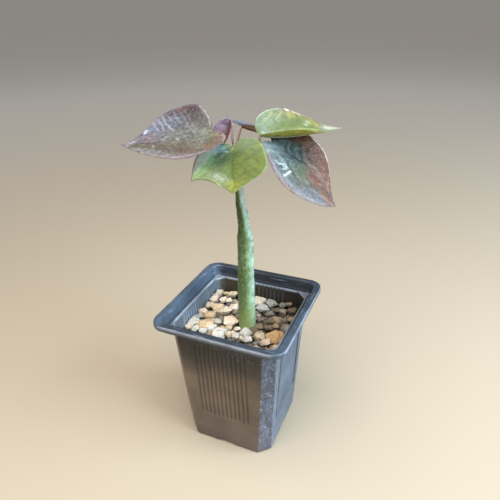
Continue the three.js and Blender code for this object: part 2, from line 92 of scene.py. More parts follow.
back = np.array([
    np.sin(AZIMUTH) * np.cos(ELEVATION), -np.cos(AZIMUTH) * np.cos(ELEVATION), np.sin(ELEVATION)])
level = unit(np.cross([0, 0, 1], back))
above = np.cross(back, level)
across = level * np.cos(CAMERA_ROLL) + above * np.sin(CAMERA_ROLL)
upward = above * np.cos(CAMERA_ROLL) - level * np.sin(CAMERA_ROLL)
camera = bpy.data.cameras.new("camera")
camera.lens, camera.sensor_width, camera.clip_start = LENS, SENSOR_WIDTH, NEAREST_SEEN
scene.camera = set_up("camera", camera, (across, upward, back), CAMERA_PLACE)
print("camera at", metres(CAMERA_PLACE).round(4), "lens", LENS)

# %% [markdown]
# ## Meshes from arrays
# Most parts of a plant or a moulded pot can be skinned over a stack of closed loops. One helper
# joins such a stack with faces, and another one turns arrays into a mesh object. Values that the
# materials need at each point, such as paint, travel with the mesh as named attributes.

# %% Mesh helpers
def loft(loops, ends=None):
    """Skins a stack of closed loops, given as levels x points x 3, that turn anticlockwise seen
    from the far end. `ends` gives a point to close each end with; without it the stack is a ring."""
    levels, count = loops.shape[:2]
    ids = np.arange(levels * count).reshape(levels, count)
    low, high = (ids, np.roll(ids, -1, 0)) if ends is None else (ids[:-1], ids[1:])
    faces = np.stack([low, np.roll(low, -1, 1), np.roll(high, -1, 1), high], -1).reshape(-1, 4).tolist()
    points = loops.reshape(-1, 3)
    if ends is not None:
        first, last = len(points), len(points) + 1
        start, finish = ids[0], ids[-1]
        faces += np.stack([np.full(count, first), np.roll(start, -1), start], 1).tolist()
        faces += np.stack([np.full(count, last), finish, np.roll(finish, -1)], 1).tolist()
        points = np.vstack([points, ends])
    return points, faces


def join(parts):
    """Several (points, faces) pairs as one pair."""
    starts = np.cumsum([0] + [len(points) for points, _ in parts[:-1]])
    faces = [[index + start for index in face] for start, (_, rows) in zip(starts, parts) for face in rows]
    return np.vstack([points for points, _ in parts]), faces


def new_piece(name, points, faces, sharp=None, **attributes):
    """A smooth mesh object from arrays in millimetres. Edges steeper than `sharp` degrees stay
    crisp. An attribute is one number to a point, or a colour, which gets full opacity."""
    mesh = bpy.data.meshes.new(name)
    mesh.from_pydata(metres(points).tolist(), [], faces)
    for key, values in attributes.items():
        kind, field = "FLOAT", "value"
        if np.ndim(values) == 2:
            kind, field, values = "FLOAT_COLOR", "color", np.column_stack([values, np.ones(len(values))])
        values = np.asarray(values, np.float32).ravel()
        mesh.attributes.new(key, kind, "POINT").data.foreach_set(field, values)
    mesh.shade_smooth()
    if sharp:
        mesh.set_sharp_from_angle(angle=np.radians(sharp))
    piece = bpy.data.objects.new(name, mesh)
    scene.collection.objects.link(piece)
    print(name, len(points), "points", len(faces), "faces")
    return piece


def ripple(points, size, seed, waves=14):
    """A smooth random field with swells about `size` millimetres across: sine waves that run in
    random directions are added up, so that values lie round 0 and seldom pass 2 either way."""
    draw = np.random.default_rng(seed)
    ways = unit(draw.normal(size=(waves, 3))) * draw.uniform(0.6, 1.5, (waves, 1)) * 2 * np.pi / size
    return np.sin(points @ ways.T + draw.uniform(0, 2 * np.pi, waves)).sum(-1) * np.sqrt(2 / waves)


def smoothstep(low, high, value):
    """Rises from 0 to 1 between two limits, level at both ends."""
    share = np.clip((value - low) / (high - low), 0, 1)
    return share * share * (3 - 2 * share)


def linear(*colour):
    """Screen colours from 0 to 255 as the linear values that light is added up in."""
    value = np.array(colour, float) / 255
    return np.where(value < 0.04045, value / 12.92, ((value + 0.055) / 1.055) ** 2.4)


print("a screen grey of 128 as light", linear(128).round(3))

# %% [markdown]
# ## Material helpers
# A shader can be wired up by hand in the editor. In a script, one helper that adds a node and
# feeds its inputs keeps each material down to a few readable lines.

# %% Shader helpers
def feed(tree, socket, value):
    """Links a socket, or sets a plain number or colour on it."""
    if isinstance(value, bpy.types.NodeSocket):
        tree.links.new(value, socket)
    else:
        socket.default_value = value


def fill(tree, node, **inputs):
    """Feeds a node's inputs, given by name with _ for a space, as numbers or as sockets."""
    for key, value in inputs.items():
        feed(tree, node.inputs[key.replace("_", " ")], value)


def add(tree, kind, settings=None, **inputs):
    """Adds a shader node with its settings and inputs."""
    node = tree.nodes.new("ShaderNode" + kind)
    for key, value in (settings or {}).items():
        setattr(node, key, value)
    fill(tree, node, **inputs)
    return node


def mix(tree, factor, first, second, blend="MIX"):
    """Mixes two colours."""
    node = add(tree, "Mix", {"data_type": "RGBA", "blend_type": blend})
    for place, value in ((0, factor), (6, first), (7, second)):
        feed(tree, node.inputs[place], value)
    return node.outputs[2]


def combine(tree, first, second, operation="MULTIPLY"):
    """The product of two numbers or sockets, or what another operation makes of them."""
    node = add(tree, "Math", {"operation": operation})
    feed(tree, node.inputs[0], first)
    feed(tree, node.inputs[1], second)
    return node.outputs[0]


def span(tree, value, low, high, to_low=0.0, to_high=1.0):
    """Maps a value from one range to another and holds it inside."""
    limits = dict(From_Min=low, From_Max=high, To_Min=to_low, To_Max=to_high)
    return add(tree, "MapRange", {"interpolation_type": "SMOOTHSTEP"}, Value=value, **limits).outputs[0]


def object_place(tree):
    """The place on the object, in metres."""
    return add(tree, "TexCoord").outputs["Object"]


def noise(tree, size, detail, rough=0.6, stretch=None):
    """Noise with lumps about `size` millimetres across, fixed to the object."""
    place = object_place(tree)
    if stretch:
        place = add(tree, "Mapping", Vector=place, Scale=stretch).outputs[0]
    lumps = add(tree, "TexNoise", Vector=place, Scale=1000 / size, Detail=detail, Roughness=rough)
    return lumps.outputs["Fac"]


def attribute(tree, name, output="Fac"):
    """A value that the mesh carries at each point."""
    return add(tree, "Attribute", {"attribute_name": name}).outputs[output]


def bump(tree, height, depth, under=None):
    """Relief of the given depth in millimetres, laid over other relief where it is given."""
    node = add(tree, "Bump", Height=height, Distance=depth / 1000)
    if under is not None:
        tree.links.new(under, node.inputs["Normal"])
    return node.outputs[0]


def new_material(name):
    """An empty material and its tree and surface node."""
    material = bpy.data.materials.new(name)
    material.use_nodes = True
    tree = material.node_tree
    return material, tree, tree.nodes["Principled BSDF"]


def rgba(colour):
    """A linear colour with full opacity, as a plain tuple."""
    return (*(float(value) for value in colour), 1.0)


def screen(*colour):
    """A screen colour from 0 to 255, ready for a colour input."""
    return rgba(linear(*colour))


def coats(tree, base, layers):
    """Lays colours over a base one after the other. A layer is its share and its screen colour."""
    for share, colour in layers:
        base = mix(tree, share, base, screen(*colour))
    return base


print("helpers", ", ".join(helper.__name__ for helper in (add, mix, combine, span, noise, bump, coats)))

# %% [markdown]
# ## Floor and light
# A plain pale floor and soft light keep the eye on the plant. In the photo cool light comes from
# the right, and warm light is thrown back from below on the pot's front. A large lamp gives soft
# shadows by itself, so three area lamps and a dim sky do here.

# %% Floor and lamps
FLOOR_COLOUR, FAR_FLOOR_COLOUR, SKY_COLOUR = (158, 144, 124), (222, 214, 202), (206, 206, 208)
SKY_STRENGTH = 0.55
FLOOR_REACH, FLOOR_RISE_REACH, FLOOR_RISE, FLOOR_SIDES = 4000, 12000, 700, 96
PALER_FROM, PALER_TO = 0.25, 1.4
floor_turn = np.linspace(0, 2 * np.pi, FLOOR_SIDES, endpoint=False)
floor_way = np.stack([np.cos(floor_turn), np.sin(floor_turn), 0 * floor_turn], 1)
floor_points = np.vstack([floor_way * FLOOR_REACH, floor_way * FLOOR_RISE_REACH + [0, 0, FLOOR_RISE]])
this = np.arange(FLOOR_SIDES)
after = np.roll(this, -1)
floor_rise = np.stack([this, this + FLOOR_SIDES, after + FLOOR_SIDES, after], 1).tolist()
floor = new_piece("floor", floor_points, [this.tolist(), *floor_rise])
floor_material, tree, shader = new_material("floor")
way_out = add(tree, "VectorMath", {"operation": "LENGTH"}, Vector=object_place(tree)).outputs["Value"]
# Painted light: the floor is painted paler far out, to make up for the lamps' light that falls off with
# distance.
painted_far_light = span(tree, way_out, PALER_FROM, PALER_TO)
fill(
    tree, shader, Roughness=0.7,
    Base_Color=mix(tree, painted_far_light, screen(*FLOOR_COLOUR), screen(*FAR_FLOOR_COLOUR)))
floor.data.materials.append(floor_material)

world = bpy.data.worlds.new("soft sky")
scene.world = world
world.use_nodes = True
sky = world.node_tree
fill(sky, sky.nodes["Background"], Color=screen(*SKY_COLOUR), Strength=SKY_STRENGTH)
scene.view_settings.view_transform = "Standard"

# Each lamp is its place and size in millimetres, its power in watts and its colour
LAMPS = {
    "window": ((620, -20, 330), 560, 14.0, (0.62, 0.82, 1.0)),
    "overhead": ((20, -240, 700), 620, 10.0, (1.0, 0.98, 0.95)),
    "front fill": ((-200, -520, 50), 300, 1.0, (1.0, 0.72, 0.48)),
}
LIT_POINT = np.array([0, 0, 100])
for name, (place, size, power, colour) in LAMPS.items():
    lamp = bpy.data.lights.new(name, "AREA")
    lamp.size, lamp.energy, lamp.color = size / 1000, power, colour
    aim = unit(np.array(place, float) - LIT_POINT)
    side = unit(np.cross([0, 0.1, 1], aim))
    set_up(name, lamp, (side, np.cross(aim, side), aim), place)
print("lamps", list(LAMPS))

# %% [markdown]
# ## The pot
# The pot is one thin moulding with fine ribs on its four sides and cut-off corners, and its
# rim has rounded corners. Ribs could be made with an array modifier and a boolean, but one
# closed profile carried round one outline gives a clean mesh. Each row of the profile says how
# far out it lies, how high, how its corners are shaped and how deep the ribs are there.

# %% Pot outline
# All in millimetres. A half width runs from the pot's middle to the outside of a wall.
BASE_HALF, WALL_TOP_HALF, WALL_TOP = 24.0, 28.6, 74.0
WALL_THICKNESS, CORNER_CUT, CORNER_EASE = 0.9, 5.2, 0.7
RIM_HALF, RIM_CORNER_RADIUS, LEDGE_CORNER_RADIUS = 35.0, 7.5, 9.5
RIM_TAPER = 0.7
RIB_PITCH, RIB_SPAN, RIB_DEPTH, RIB_END = 2.45, 13.475, 0.55, 0.9
ARCH_HALF_WIDTH, ARCH_HEIGHT = 9.5, 2.6
FOOT_ROUND, FOOT_CUT = 1.3, 5.6
PANEL_LINE = 14.5
half_marks = np.append(np.arange(45) * RIB_PITCH / 8, [13.65, 13.85, 14.1, PANEL_LINE])
TO_CORNER = np.array([0.4, 0.8, 0.96, 1.0])
EASE_STEPS = np.array([0.25, 0.5, 0.75, 1.0])
QUARTER_TURNS = [np.linalg.matrix_power(np.array([[0, 1], [-1, 0]]), k) for k in range(4)]


def pot_loops(rows):
    """Closed loops round the pot. Each row is (half width, height, corner cut, roundness of the
    corner from 0 to 1, rib depth). A side has its ribs as a row of cosine humps. A corner is a
    straight cut with eased edges, or an arc, or a share of both."""
    half, z, cut, arc, groove = np.array(rows, float).T[:, :, None]
    rim_radius = RIM_CORNER_RADIUS - (RIM_HALF - half) * RIM_TAPER
    radius = np.where(half < WALL_TOP_HALF, LEDGE_CORNER_RADIUS, rim_radius)
    end = half - (1 - arc) * (cut + CORNER_EASE) - arc * radius
    last = PANEL_LINE + (end - PANEL_LINE) * TO_CORNER
    marks = np.hstack([np.repeat(half_marks[None], len(half), 0), last])
    beyond = np.clip(1 - (marks - RIB_SPAN) / RIB_END, 0, 1)
    humps = np.where(marks <= RIB_SPAN + 1e-6, 1 - np.abs(np.cos(np.pi * marks / RIB_PITCH)), beyond)
    out = half - groove * humps
    side = np.stack([np.hstack([out[:, :0:-1], out]), np.hstack([-marks[:, :0:-1], marks])], -1)

    def curve(start, middle, stop):
        share = EASE_STEPS
        return start * (1 - share) ** 2 + 2 * middle * share * (1 - share) + stop * share ** 2

    eased = CORNER_EASE / np.sqrt(2)
    corner = half - cut
    first = np.stack([
        curve(half, half, half - eased), curve(corner - CORNER_EASE, corner, corner + eased)], -1)
    middle = first[:, -1:] + np.linspace(0, 1, 7)[1:-1, None] * (first[:, -1:, ::-1] - first[:, -1:])
    cut_path = np.concatenate([first, middle, first[:, ::-1, ::-1]], 1)
    turn = np.linspace(0, np.pi / 2, cut_path.shape[1] + 2)[1:-1]
    arc_path = (half - radius)[..., None] + radius[..., None] * np.stack([np.cos(turn), np.sin(turn)], -1)
    corner_path = cut_path + (arc_path - cut_path) * arc[..., None]
    quarter = np.concatenate([side, corner_path], 1)
    flat = np.concatenate([quarter @ turn for turn in QUARTER_TURNS], 1)
    arch_share = np.minimum(np.abs(flat).min(-1) / ARCH_HALF_WIDTH, 1)
    arch = ARCH_HEIGHT / 2 * (1 + np.cos(np.pi * arch_share)) * (z < ARCH_HEIGHT)
    height = np.maximum(z, arch)
    return np.dstack([flat, height])


print("points in half a side", len(half_marks) + len(TO_CORNER))

# %% Pot walls and rim
def wall_half(z):
    """Half the pot's width at a height, outside."""
    return BASE_HALF + (WALL_TOP_HALF - BASE_HALF) * z / WALL_TOP


def wall_rows(heights, inset, top=68):
    """Rows of the tapered wall, set in by the wall's thickness on the inside. The ribs fade out
    over two millimetres above `top`."""
    z = np.array(heights, float)
    depth = RIB_DEPTH * smoothstep(20, 22, z) * (1 - smoothstep(top, top + 2, z))
    cut = CORNER_CUT + 0.4 * (1 - smoothstep(1, 20, z))
    return np.stack([wall_half(z) - inset, z, cut, 0 * z, depth], 1).tolist()


foot_turn = np.radians([0, 25, 50, 75])
foot = [
    (BASE_HALF - FOOT_ROUND * (1 - np.sin(turn)), FOOT_ROUND * (1 - np.cos(turn)), FOOT_CUT, 0, 0)
    for turn in foot_turn]
wall_heights = [
    1.4, 2.59, 2.7, 5, 10, 15, 19, 20, 20.5, 21, 21.5, 22, *range(25, 68, 3), 68, 68.5, 69, 69.5,
    70, 71, 72, 73, 73.4]
round_rim = [
    (29.6, 73.6), (31.3, 73.9), (31.6, 74.05), (31.7, 74.4), (31.9, 77), (32.05, 78.8), (32.3, 79.05),
    (33.8, 79.1), (34.1, 78.9), (34.1, 77.4), (34.25, 77.15), (34.8, 77.1), (34.97, 77.25), (35, 77.6),
    (35, 78.9), (34.95, 79.3), (34.8, 79.62), (34.5, 79.84), (34.1, 79.92), (33.4, 79.9), (32.4, 79.9),
    (31.8, 79.93), (31.45, 79.85), (31.2, 79.6), (31.1, 79.2), (30.85, 77), (30.65, 75.4), (30.5, 75.0),
    (30.1, 74.8), (28.75, 74.73), (28.55, 74.72)]
rim = [
    (28.75, 73.45, CORNER_CUT, 0.3, 0), *[(half, height, CORNER_CUT, 1, 0) for half, height in round_rim],
    (28.1, 74.7, CORNER_CUT, 0.8, 0), (27.85, 74.5, CORNER_CUT, 0.2, 0)]
inside_heights = [
    74, 73.4, 72.8, 72.2, 71.6, 70, 68, *range(65, 22, -3), 22, 21, 20, 15, 8, 4.4]
inside = wall_rows(inside_heights, WALL_THICKNESS, top=72)
under = [
    (22.9, 3.7, FOOT_CUT, 0, 0), (22.5, 3.6, 5.8, 0, 0), (22.3, 2.62, 6.0, 0, 0), (22.2, 2.5, 6.2, 0, 0),
    (22.2, 0.1, 6.4, 0, 0), (22.4, 0, 6.4, 0, 0)]
profile = [*foot, *wall_rows(wall_heights, 0), *rim, *inside, *under]
shell_loops = pot_loops(profile)
shell = loft(shell_loops)
print("profile rows", len(profile))

# %% [markdown]
# The pot's floor has five round drainage holes. Cutting them with a boolean would work too, but a
# ring of faces from each round hole to its own square cell stays tidy without a modifier.

# %% Pot floor
FLOOR_HEIGHTS = (2.6, 3.6)
HOLE_RADIUS, HOLE_CELL = 3.0, 11.0
CELL_EDGE, CELLS_EDGE, FLOOR_EDGE, FLOOR_CUT = 5.5, 16.5, 23.2, 18
hole_turn = np.linspace(0, 2 * np.pi, 33)[:-1] + np.pi / 32
circle = np.stack([np.cos(hole_turn), np.sin(hole_turn)], 1)
square = circle / np.abs(circle).max(1, keepdims=True) * HOLE_CELL / 2


def walls(outlines, heights):
    """Outlines in plan, each at its own height, as a stack of loops."""
    return np.stack([
        np.column_stack([outline, np.full(len(outline), z)]) for outline, z in zip(outlines, heights)])


def prism(outline, heights):
    """A flat plate over an outline in plan, between two heights."""
    loops = walls([outline] * 2, heights)
    return loft(loops, loops.mean(1))


low, high = FLOOR_HEIGHTS
drains = []
for cell in ((0, 0), (1, 0), (0, 1), (-1, 0), (0, -1)):
    middle = np.array(cell) * HOLE_CELL
    hole = circle * HOLE_RADIUS + middle
    drains.append(loft(walls([square + middle, square + middle, hole, hole], [low, high, high, low])))
corner_plate = np.array([
    (CELL_EDGE, CELL_EDGE), (CELLS_EDGE, CELL_EDGE), (FLOOR_EDGE, CELL_EDGE), (FLOOR_EDGE, FLOOR_CUT),
    (FLOOR_CUT, FLOOR_EDGE), (CELL_EDGE, FLOOR_EDGE), (CELL_EDGE, CELLS_EDGE)])
side_plate = np.array([
    (CELLS_EDGE, -CELL_EDGE), (FLOOR_EDGE, -CELL_EDGE), (FLOOR_EDGE, CELL_EDGE), (CELLS_EDGE, CELL_EDGE)])
plates = [
    prism(plate @ turn, FLOOR_HEIGHTS) for turn in QUARTER_TURNS for plate in (corner_plate, side_plate)]
pot_points, pot_faces = join([shell, *drains, *plates])
print("pot points", len(pot_points))

# %% [markdown]
# The pot is black plastic that has been handled. Its corners and the rim carry pale scuffs, and
# water has left lime below the rim. Much of its colour is painted light: each face and height gets
# the tone that the light lends it, and the pale line along the rim's outer edge is partly a
# painted highlight. Wear could be painted by hand. A value at each point that says where a finger
# or a shelf rubs, broken up by noise in the shader, gives the same look and can be changed later.

# %% Pot colours
# Painted light: the pot is one black plastic, and these tones give each face and height the colour that the
# light lends it there: the warm front, the dark band under the rim, the bluish sheen of the right side and
# the cut corners, the lit and dim inner walls, and the bluish rim.
FRONT_TONES = [
    (0, (84, 71, 64)), (16, (80, 69, 60)), (45, (90, 75, 60)), (58, (46, 39, 33)), (66, (22, 19, 17)),
    (74, (12, 12, 12))]
SIDE_TONES = [(0, (78, 84, 94)), (20, (76, 86, 98)), (45, (82, 92, 104)), (74, (74, 85, 98))]
CUT_TONES = [(0, (59, 60, 66)), (20, (58, 60, 67)), (40, (46, 49, 56)), (74, (42, 48, 56))]
WARM_CUT_TONES = [(0, (90, 80, 70)), (45, (84, 76, 67)), (62, (54, 45, 38)), (74, (34, 32, 30))]
BACK_TONES = [(0, (58, 58, 60)), (40, (48, 50, 53)), (74, (38, 41, 45))]
LIT_WALL, DIM_WALL, WARM_WALL_GAIN = (91, 101, 110), (49, 47, 42), (1.9, 1.55, 1.1)
RIM_TONE, DARK_RIM_TONE, LIT_LIP_TONE = (51, 62, 74), (36, 43, 51), (150, 156, 160)


def tones(rows, z):
    """A colour that changes with height, given as rows of height and screen colour."""
    heights, colours = zip(*rows)
    return np.stack([np.interp(z, heights, channel) for channel in linear(*colours).T], -1)


def blend(first, second, share):
    """Goes from one colour to another at each point."""
    return first + (second - first) * share[:, None]


def fades(low, high, value):
    """Falls from 1 to 0 between two limits."""
    return 1 - smoothstep(low, high, value)


# Where each point lies: its side, its row of the profile, the cut corners and the grooves
x, y, z = pot_points.T
wide = wall_half(z)
reach = np.maximum(np.abs(x), np.abs(y))
ring_size = shell_loops.shape[1]
row = np.arange(len(z)) // ring_size
first_inside, first_under = len(profile) - len(inside) - len(under), len(profile) - len(under)
is_inside = (row >= first_inside) * (row < first_under)
outdoors = 1 - is_inside
from_cut = np.abs(x) + np.abs(y) - (2 * wide - CORNER_CUT - 0.75 - 2 * is_inside)
cut_share = smoothstep(0, 0.5, from_cut)
groove = np.clip((wide - reach - is_inside * WALL_THICKNESS) / RIB_DEPTH, 0, 1)
groove = groove * (z > 20) * (z < WALL_TOP) * (1 - cut_share)
on_front, on_right = smoothstep(0.9, 0.96, -y / wide), smoothstep(0.9, 0.96, x / wide)
front_right = smoothstep(-6, 6, x) * smoothstep(-6, 6, -y)

# The outer walls, in painted light: the front is painted warm low down, as lit from below, and
# dark under the rim as its shade, most at the left, and at mid height a little darker to the
# right and lighter to the left. The right side is painted bluish as the cool light's sheen, a
# little lighter near the front corner, with a dark seam on each side of its ribs.
low_down = fades(44, 54, z)
top_shade = 0.42 * smoothstep(-8, -22, x) * (1 - low_down) * smoothstep(50, 64, z)
flank_shade = 0.14 * smoothstep(3, 11, x) - 0.12 * smoothstep(-4, -14, x)
front_shade = top_shade + flank_shade * low_down * smoothstep(24, 30, z)
seam = np.exp(-((np.abs(y) - PANEL_LINE) / 0.5) ** 2) * on_right * smoothstep(19, 21, z) * fades(69, 71, z)
film = blend(tones(BACK_TONES, z), tones(FRONT_TONES, z), on_front) * (1 - front_shade * on_front)[:, None]
film = blend(film, tones(SIDE_TONES, z), on_right)
film = film * (1 + 0.1 * smoothstep(-16, -17, y) * on_right - 0.85 * seam)[:, None]
# Painted light on the cut corners: the front left one is painted warm, as the front is.
cut_painted_light = np.where(((x < 0) * (y < 0))[:, None], tones(WARM_CUT_TONES, z), tones(CUT_TONES, z))
film = blend(film, cut_painted_light, cut_share)

# The inner walls, in painted light: the left one is painted as lit by the cool light, and the back
# one is painted warmer at its left end
indoors = blend(linear(*DIM_WALL), linear(*LIT_WALL), smoothstep(0.84, 0.92, -x / wide))
back_left = smoothstep(0.84, 0.92, y / wide) * smoothstep(4, -8, x)
indoors = blend(indoors, indoors * WARM_WALL_GAIN, back_left)
film = blend(film, indoors, is_inside * 1.0)
# Painted light and shade on the ribs: outside, the ridges are painted lighter and the grooves darker as their
# shade, less so on the right side; inside, the crests are painted bright as highlights and the hollows
# between them darker.
outer_ribs = 0.25 * (1 - groove) ** 3 * (groove > 0) - 0.35 * groove ** 0.5
ribs = np.where(is_inside, 1.1 * groove - 0.3, outer_ribs * (1 - 0.75 * on_right))
film = film * (1 + ribs * (z < 73.6))[:, None]

# The rim, in painted light: dim along the back and front, lighter at the left, darker at the right
# towards the back and on the ledge, and the ledge's lip has a painted highlight at the end of each rib
on_long_sides = smoothstep(27, 31, np.abs(y)) * fades(26, 30, np.abs(x))
rim_painted_light = blend(linear(*RIM_TONE), linear(*DARK_RIM_TONE), on_long_sides)
rim_light = 0.45 * smoothstep(-24, -31, x) - 0.4 * smoothstep(22, 30, x) * smoothstep(-6, 12, y)
rim_light = rim_light - (0.45 + 0.2 * smoothstep(0, 10, x)) * (z < 74.95) * (reach < 30.3)
film = blend(film, rim_painted_light * (1 + rim_light)[:, None], smoothstep(74.2, 75, z))
ribbed = (first_inside + inside_heights.index(65)) * ring_size
ridges = np.resize(1 - groove[ribbed:ribbed + ring_size], len(z))
rib_ends = ridges * (z > 73.9) * (z < 74.71) * (reach < 28.3) * (1 - cut_share)
film = blend(film, linear(*LIT_LIP_TONE), 0.55 * rib_ends)

# Wear and painted light: rubbed corners, a pale rim edge that is partly worn and partly a painted
# highlight, lime under the rim, a pale ledge, and scratches along the rim
on_wall = smoothstep(1, 4, z) * fades(73, 74.5, z)
rub = cut_share * on_wall * (0.35 + 0.65 * front_right) * outdoors * (1 - 0.4 * smoothstep(28, 58, z))
# The rim's outer top edge is pale: partly wear, partly a painted highlight.
edge_wear_and_highlight = smoothstep(34.3, 34.8, reach) * smoothstep(78.6, 79.2, z) * fades(79.5, 79.8, z)
# The ledge is painted pale: it shares the lime's flecks and the rim edge's pale coat.
ledge = (z > 74.4) * (z < 74.95) * (reach < 28.65)
lime = np.maximum(smoothstep(60, 73, z) * fades(74, 75, z) * front_right, ledge)
# The right outer wall is marked for a painted sheen: the shader darkens it face on, so that its pale painted
# tone shows only at a slant.
pot = new_piece(
    "square_pot", pot_points, pot_faces, sharp=38, film=film, rub=rub, lime=lime, seam=seam,
    edge=np.maximum(edge_wear_and_highlight, 0.7 * ledge), dust=on_right * outdoors * (z < WALL_TOP),
    along_y=smoothstep(-2, 2, np.abs(x) - np.abs(y)), collar=0.04 + 0.36 * smoothstep(75, 76, z))

# %% [markdown]
# The plastic is one shader. It takes its colour and painted light from the mesh, and lays a
# painted sheen on the right wall, scuffs, lime, a rim edge that is partly a painted highlight, and
# scratches over it, each broken up by noise. A picture of worn plastic could be wrapped round the
# pot instead, but noise has no seams and stays sharp close up.

# %% Pot plastic
pot_plastic, tree, shader = new_material("pot plastic")
cloud = noise(tree, 16, 3)
grain = noise(tree, 0.9, 3)
streak = noise(tree, 2.2, 5, 0.7, (1, 1, 0.3))
fleck = span(tree, noise(tree, 1.5, 6, 0.75), 0.56, 0.68, 0.0, 0.7)
blotch = span(tree, noise(tree, 3.2, 7, 0.8), 0.52, 0.62, 0.0, 0.22)
scratches = [noise(tree, 0.7, 3, 0.6, stretch) for stretch in ((0.08, 1, 0.6), (1, 0.08, 0.6))]
scratch = mix(tree, attribute(tree, "along_y"), *scratches)
slant = add(tree, "LayerWeight", Blend=0.5).outputs["Facing"]
rubbed = attribute(tree, "rub")
base = mix(tree, span(tree, cloud, 0.3, 0.7), rgba((0.75, 0.75, 0.76)), rgba((1.2, 1.2, 1.2)))
base = mix(tree, 1.0, attribute(tree, "film", "Color"), base, "MULTIPLY")
# The first coat is the right wall's painted sheen, dark face on and pale at a slant. The edge coat is partly
# a painted highlight.
base = coats(tree, base, [
    (combine(tree, attribute(tree, "dust"), span(tree, slant, 0.2, 0.6, 0.8, 0.0)), (14, 15, 17)),
    (combine(tree, rubbed, span(tree, streak, 0.42, 0.62, 0.045, 0.45)), (104, 108, 126)),
    (combine(tree, fleck, combine(tree, rubbed, attribute(tree, "lime"), "MAXIMUM")), (176, 176, 182)),
    (combine(tree, attribute(tree, "edge"), span(tree, cloud, 0.3, 0.6, 0.28, 0.8)), (138, 146, 158)),
    (combine(tree, rubbed, blotch), (150, 154, 168)),
    (combine(tree, attribute(tree, "collar"), span(tree, scratch, 0.57, 0.68)), (128, 136, 148)),
    (span(tree, grain, 0.66, 0.74, 0.0, 0.22), (140, 144, 152))])
fill(
    tree, shader, Base_Color=base, Roughness=span(tree, streak, 0.3, 0.7, 0.32, 0.52),
    Specular_IOR_Level=span(tree, attribute(tree, "seam"), 0.0, 1.0, 0.5, 0.0),
    Normal=bump(tree, scratch, 0.06, bump(tree, grain, 0.05, bump(tree, cloud, 0.25))))
pot.data.materials.append(pot_plastic)
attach(pot, "root")
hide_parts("pot")

# %% [markdown]
# ## The soil
# The soil fills the pot under the gravel and can only be glimpsed through the holes. Its solid
# block has the right form already, so it keeps its mesh and gets a rough dark finish.

# %% Soil finish
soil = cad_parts["potting_mix"]
soil_material, tree, shader = new_material("soil")
crumbs = noise(tree, 1.8, 8, 0.75)
fibres = noise(tree, 1.2, 4, 0.6, (1, 0.2, 1))
earth = mix(tree, span(tree, crumbs, 0.35, 0.7), screen(38, 28, 22), screen(92, 70, 52))
earth = mix(tree, span(tree, fibres, 0.62, 0.7), earth, screen(128, 100, 74))
fill(tree, shader, Base_Color=earth, Roughness=0.95, Normal=bump(tree, crumbs, 0.8))
soil.data.materials.clear()
soil.data.materials.append(soil_material)
print("soil keeps its", len(soil.data.polygons), "faces")

# %% [markdown]
# ## The gravel
# The top dressing is loose crushed stone in cream, ochre, grey and one orange piece. Stones could
# be sculpted, or a few could be copied many times, but then their copies show. Here each chip
# is the tightest skin round a dozen corners. Each corner is a cluster of four points, so that
# the edges between the flat faces come out worn and not razor sharp.

# %% Stone shapes
def corner_ways(count):
    """Directions spread evenly over a sphere: equal steps in height, each turned on by the
    golden angle."""
    level = 1 - (np.arange(count) + 0.5) * 2 / count
    turn = np.arange(count) * np.pi * (3 - 5 ** 0.5)
    flat = np.sqrt(1 - level ** 2)
    return np.stack([flat * np.cos(turn), flat * np.sin(turn), level], 1)


def chip(draw, size, place, heading, corners=11, wear=0.1):
    """One crushed stone: its corners lie near a sphere, are worn, stretched to the wanted size,
    tilted and turned, and the skin round them is drawn tight."""
    ways = unit(corner_ways(corners) + draw.normal(size=(corners, 3)) * 0.22)
    ways = ways * draw.uniform(0.78, 1.12, (corners, 1))
    body = (ways[:, None] + draw.normal(size=(corners, 4, 3)) * wear).reshape(-1, 3)
    body = (body - (body.max(0) + body.min(0)) / 2) / np.ptp(body, axis=0) * 2 * size
    tilt, lean = np.radians(draw.uniform(-16, 16, 2))
    spin = Matrix.Rotation(heading, 3, "Z") @ Matrix.Rotation(tilt, 3, "X") @ Matrix.Rotation(lean, 3, "Y")
    skin = bmesh.new()
    for point in body @ np.array(spin).T + place:
        skin.verts.new(point)
    bmesh.ops.convex_hull(skin, input=skin.verts)
    bmesh.ops.delete(skin, geom=[vert for vert in skin.verts if not vert.link_faces], context="VERTS")
    bmesh.ops.recalc_face_normals(skin, faces=skin.faces)
    skin.verts.index_update()
    points = np.array([vert.co for vert in skin.verts])
    faces = [[vert.index for vert in face.verts] for face in skin.faces]
    skin.free()
    return points, faces


print("faces in a chip", len(chip(np.random.default_rng(1), np.ones(3), np.zeros(3), 0.0)[1]))

# %% [markdown]
# The chips that the photo shows are listed by place, seen size and colour. The rest of the bed is
# filled with chips on a jittered grid, wherever there is room between the listed ones.

# %% Stone places
CREAM, WHITE, PINKISH = (194, 180, 158), (182, 177, 168), (202, 182, 164)
GREY, BLUE_GREY, OCHRE = (170, 166, 154), (150, 156, 160), (190, 164, 130)
ORANGE, TAN, BROWN, LIGHT_GREY = (196, 158, 112), (184, 166, 138), (132, 114, 92), (186, 182, 172)
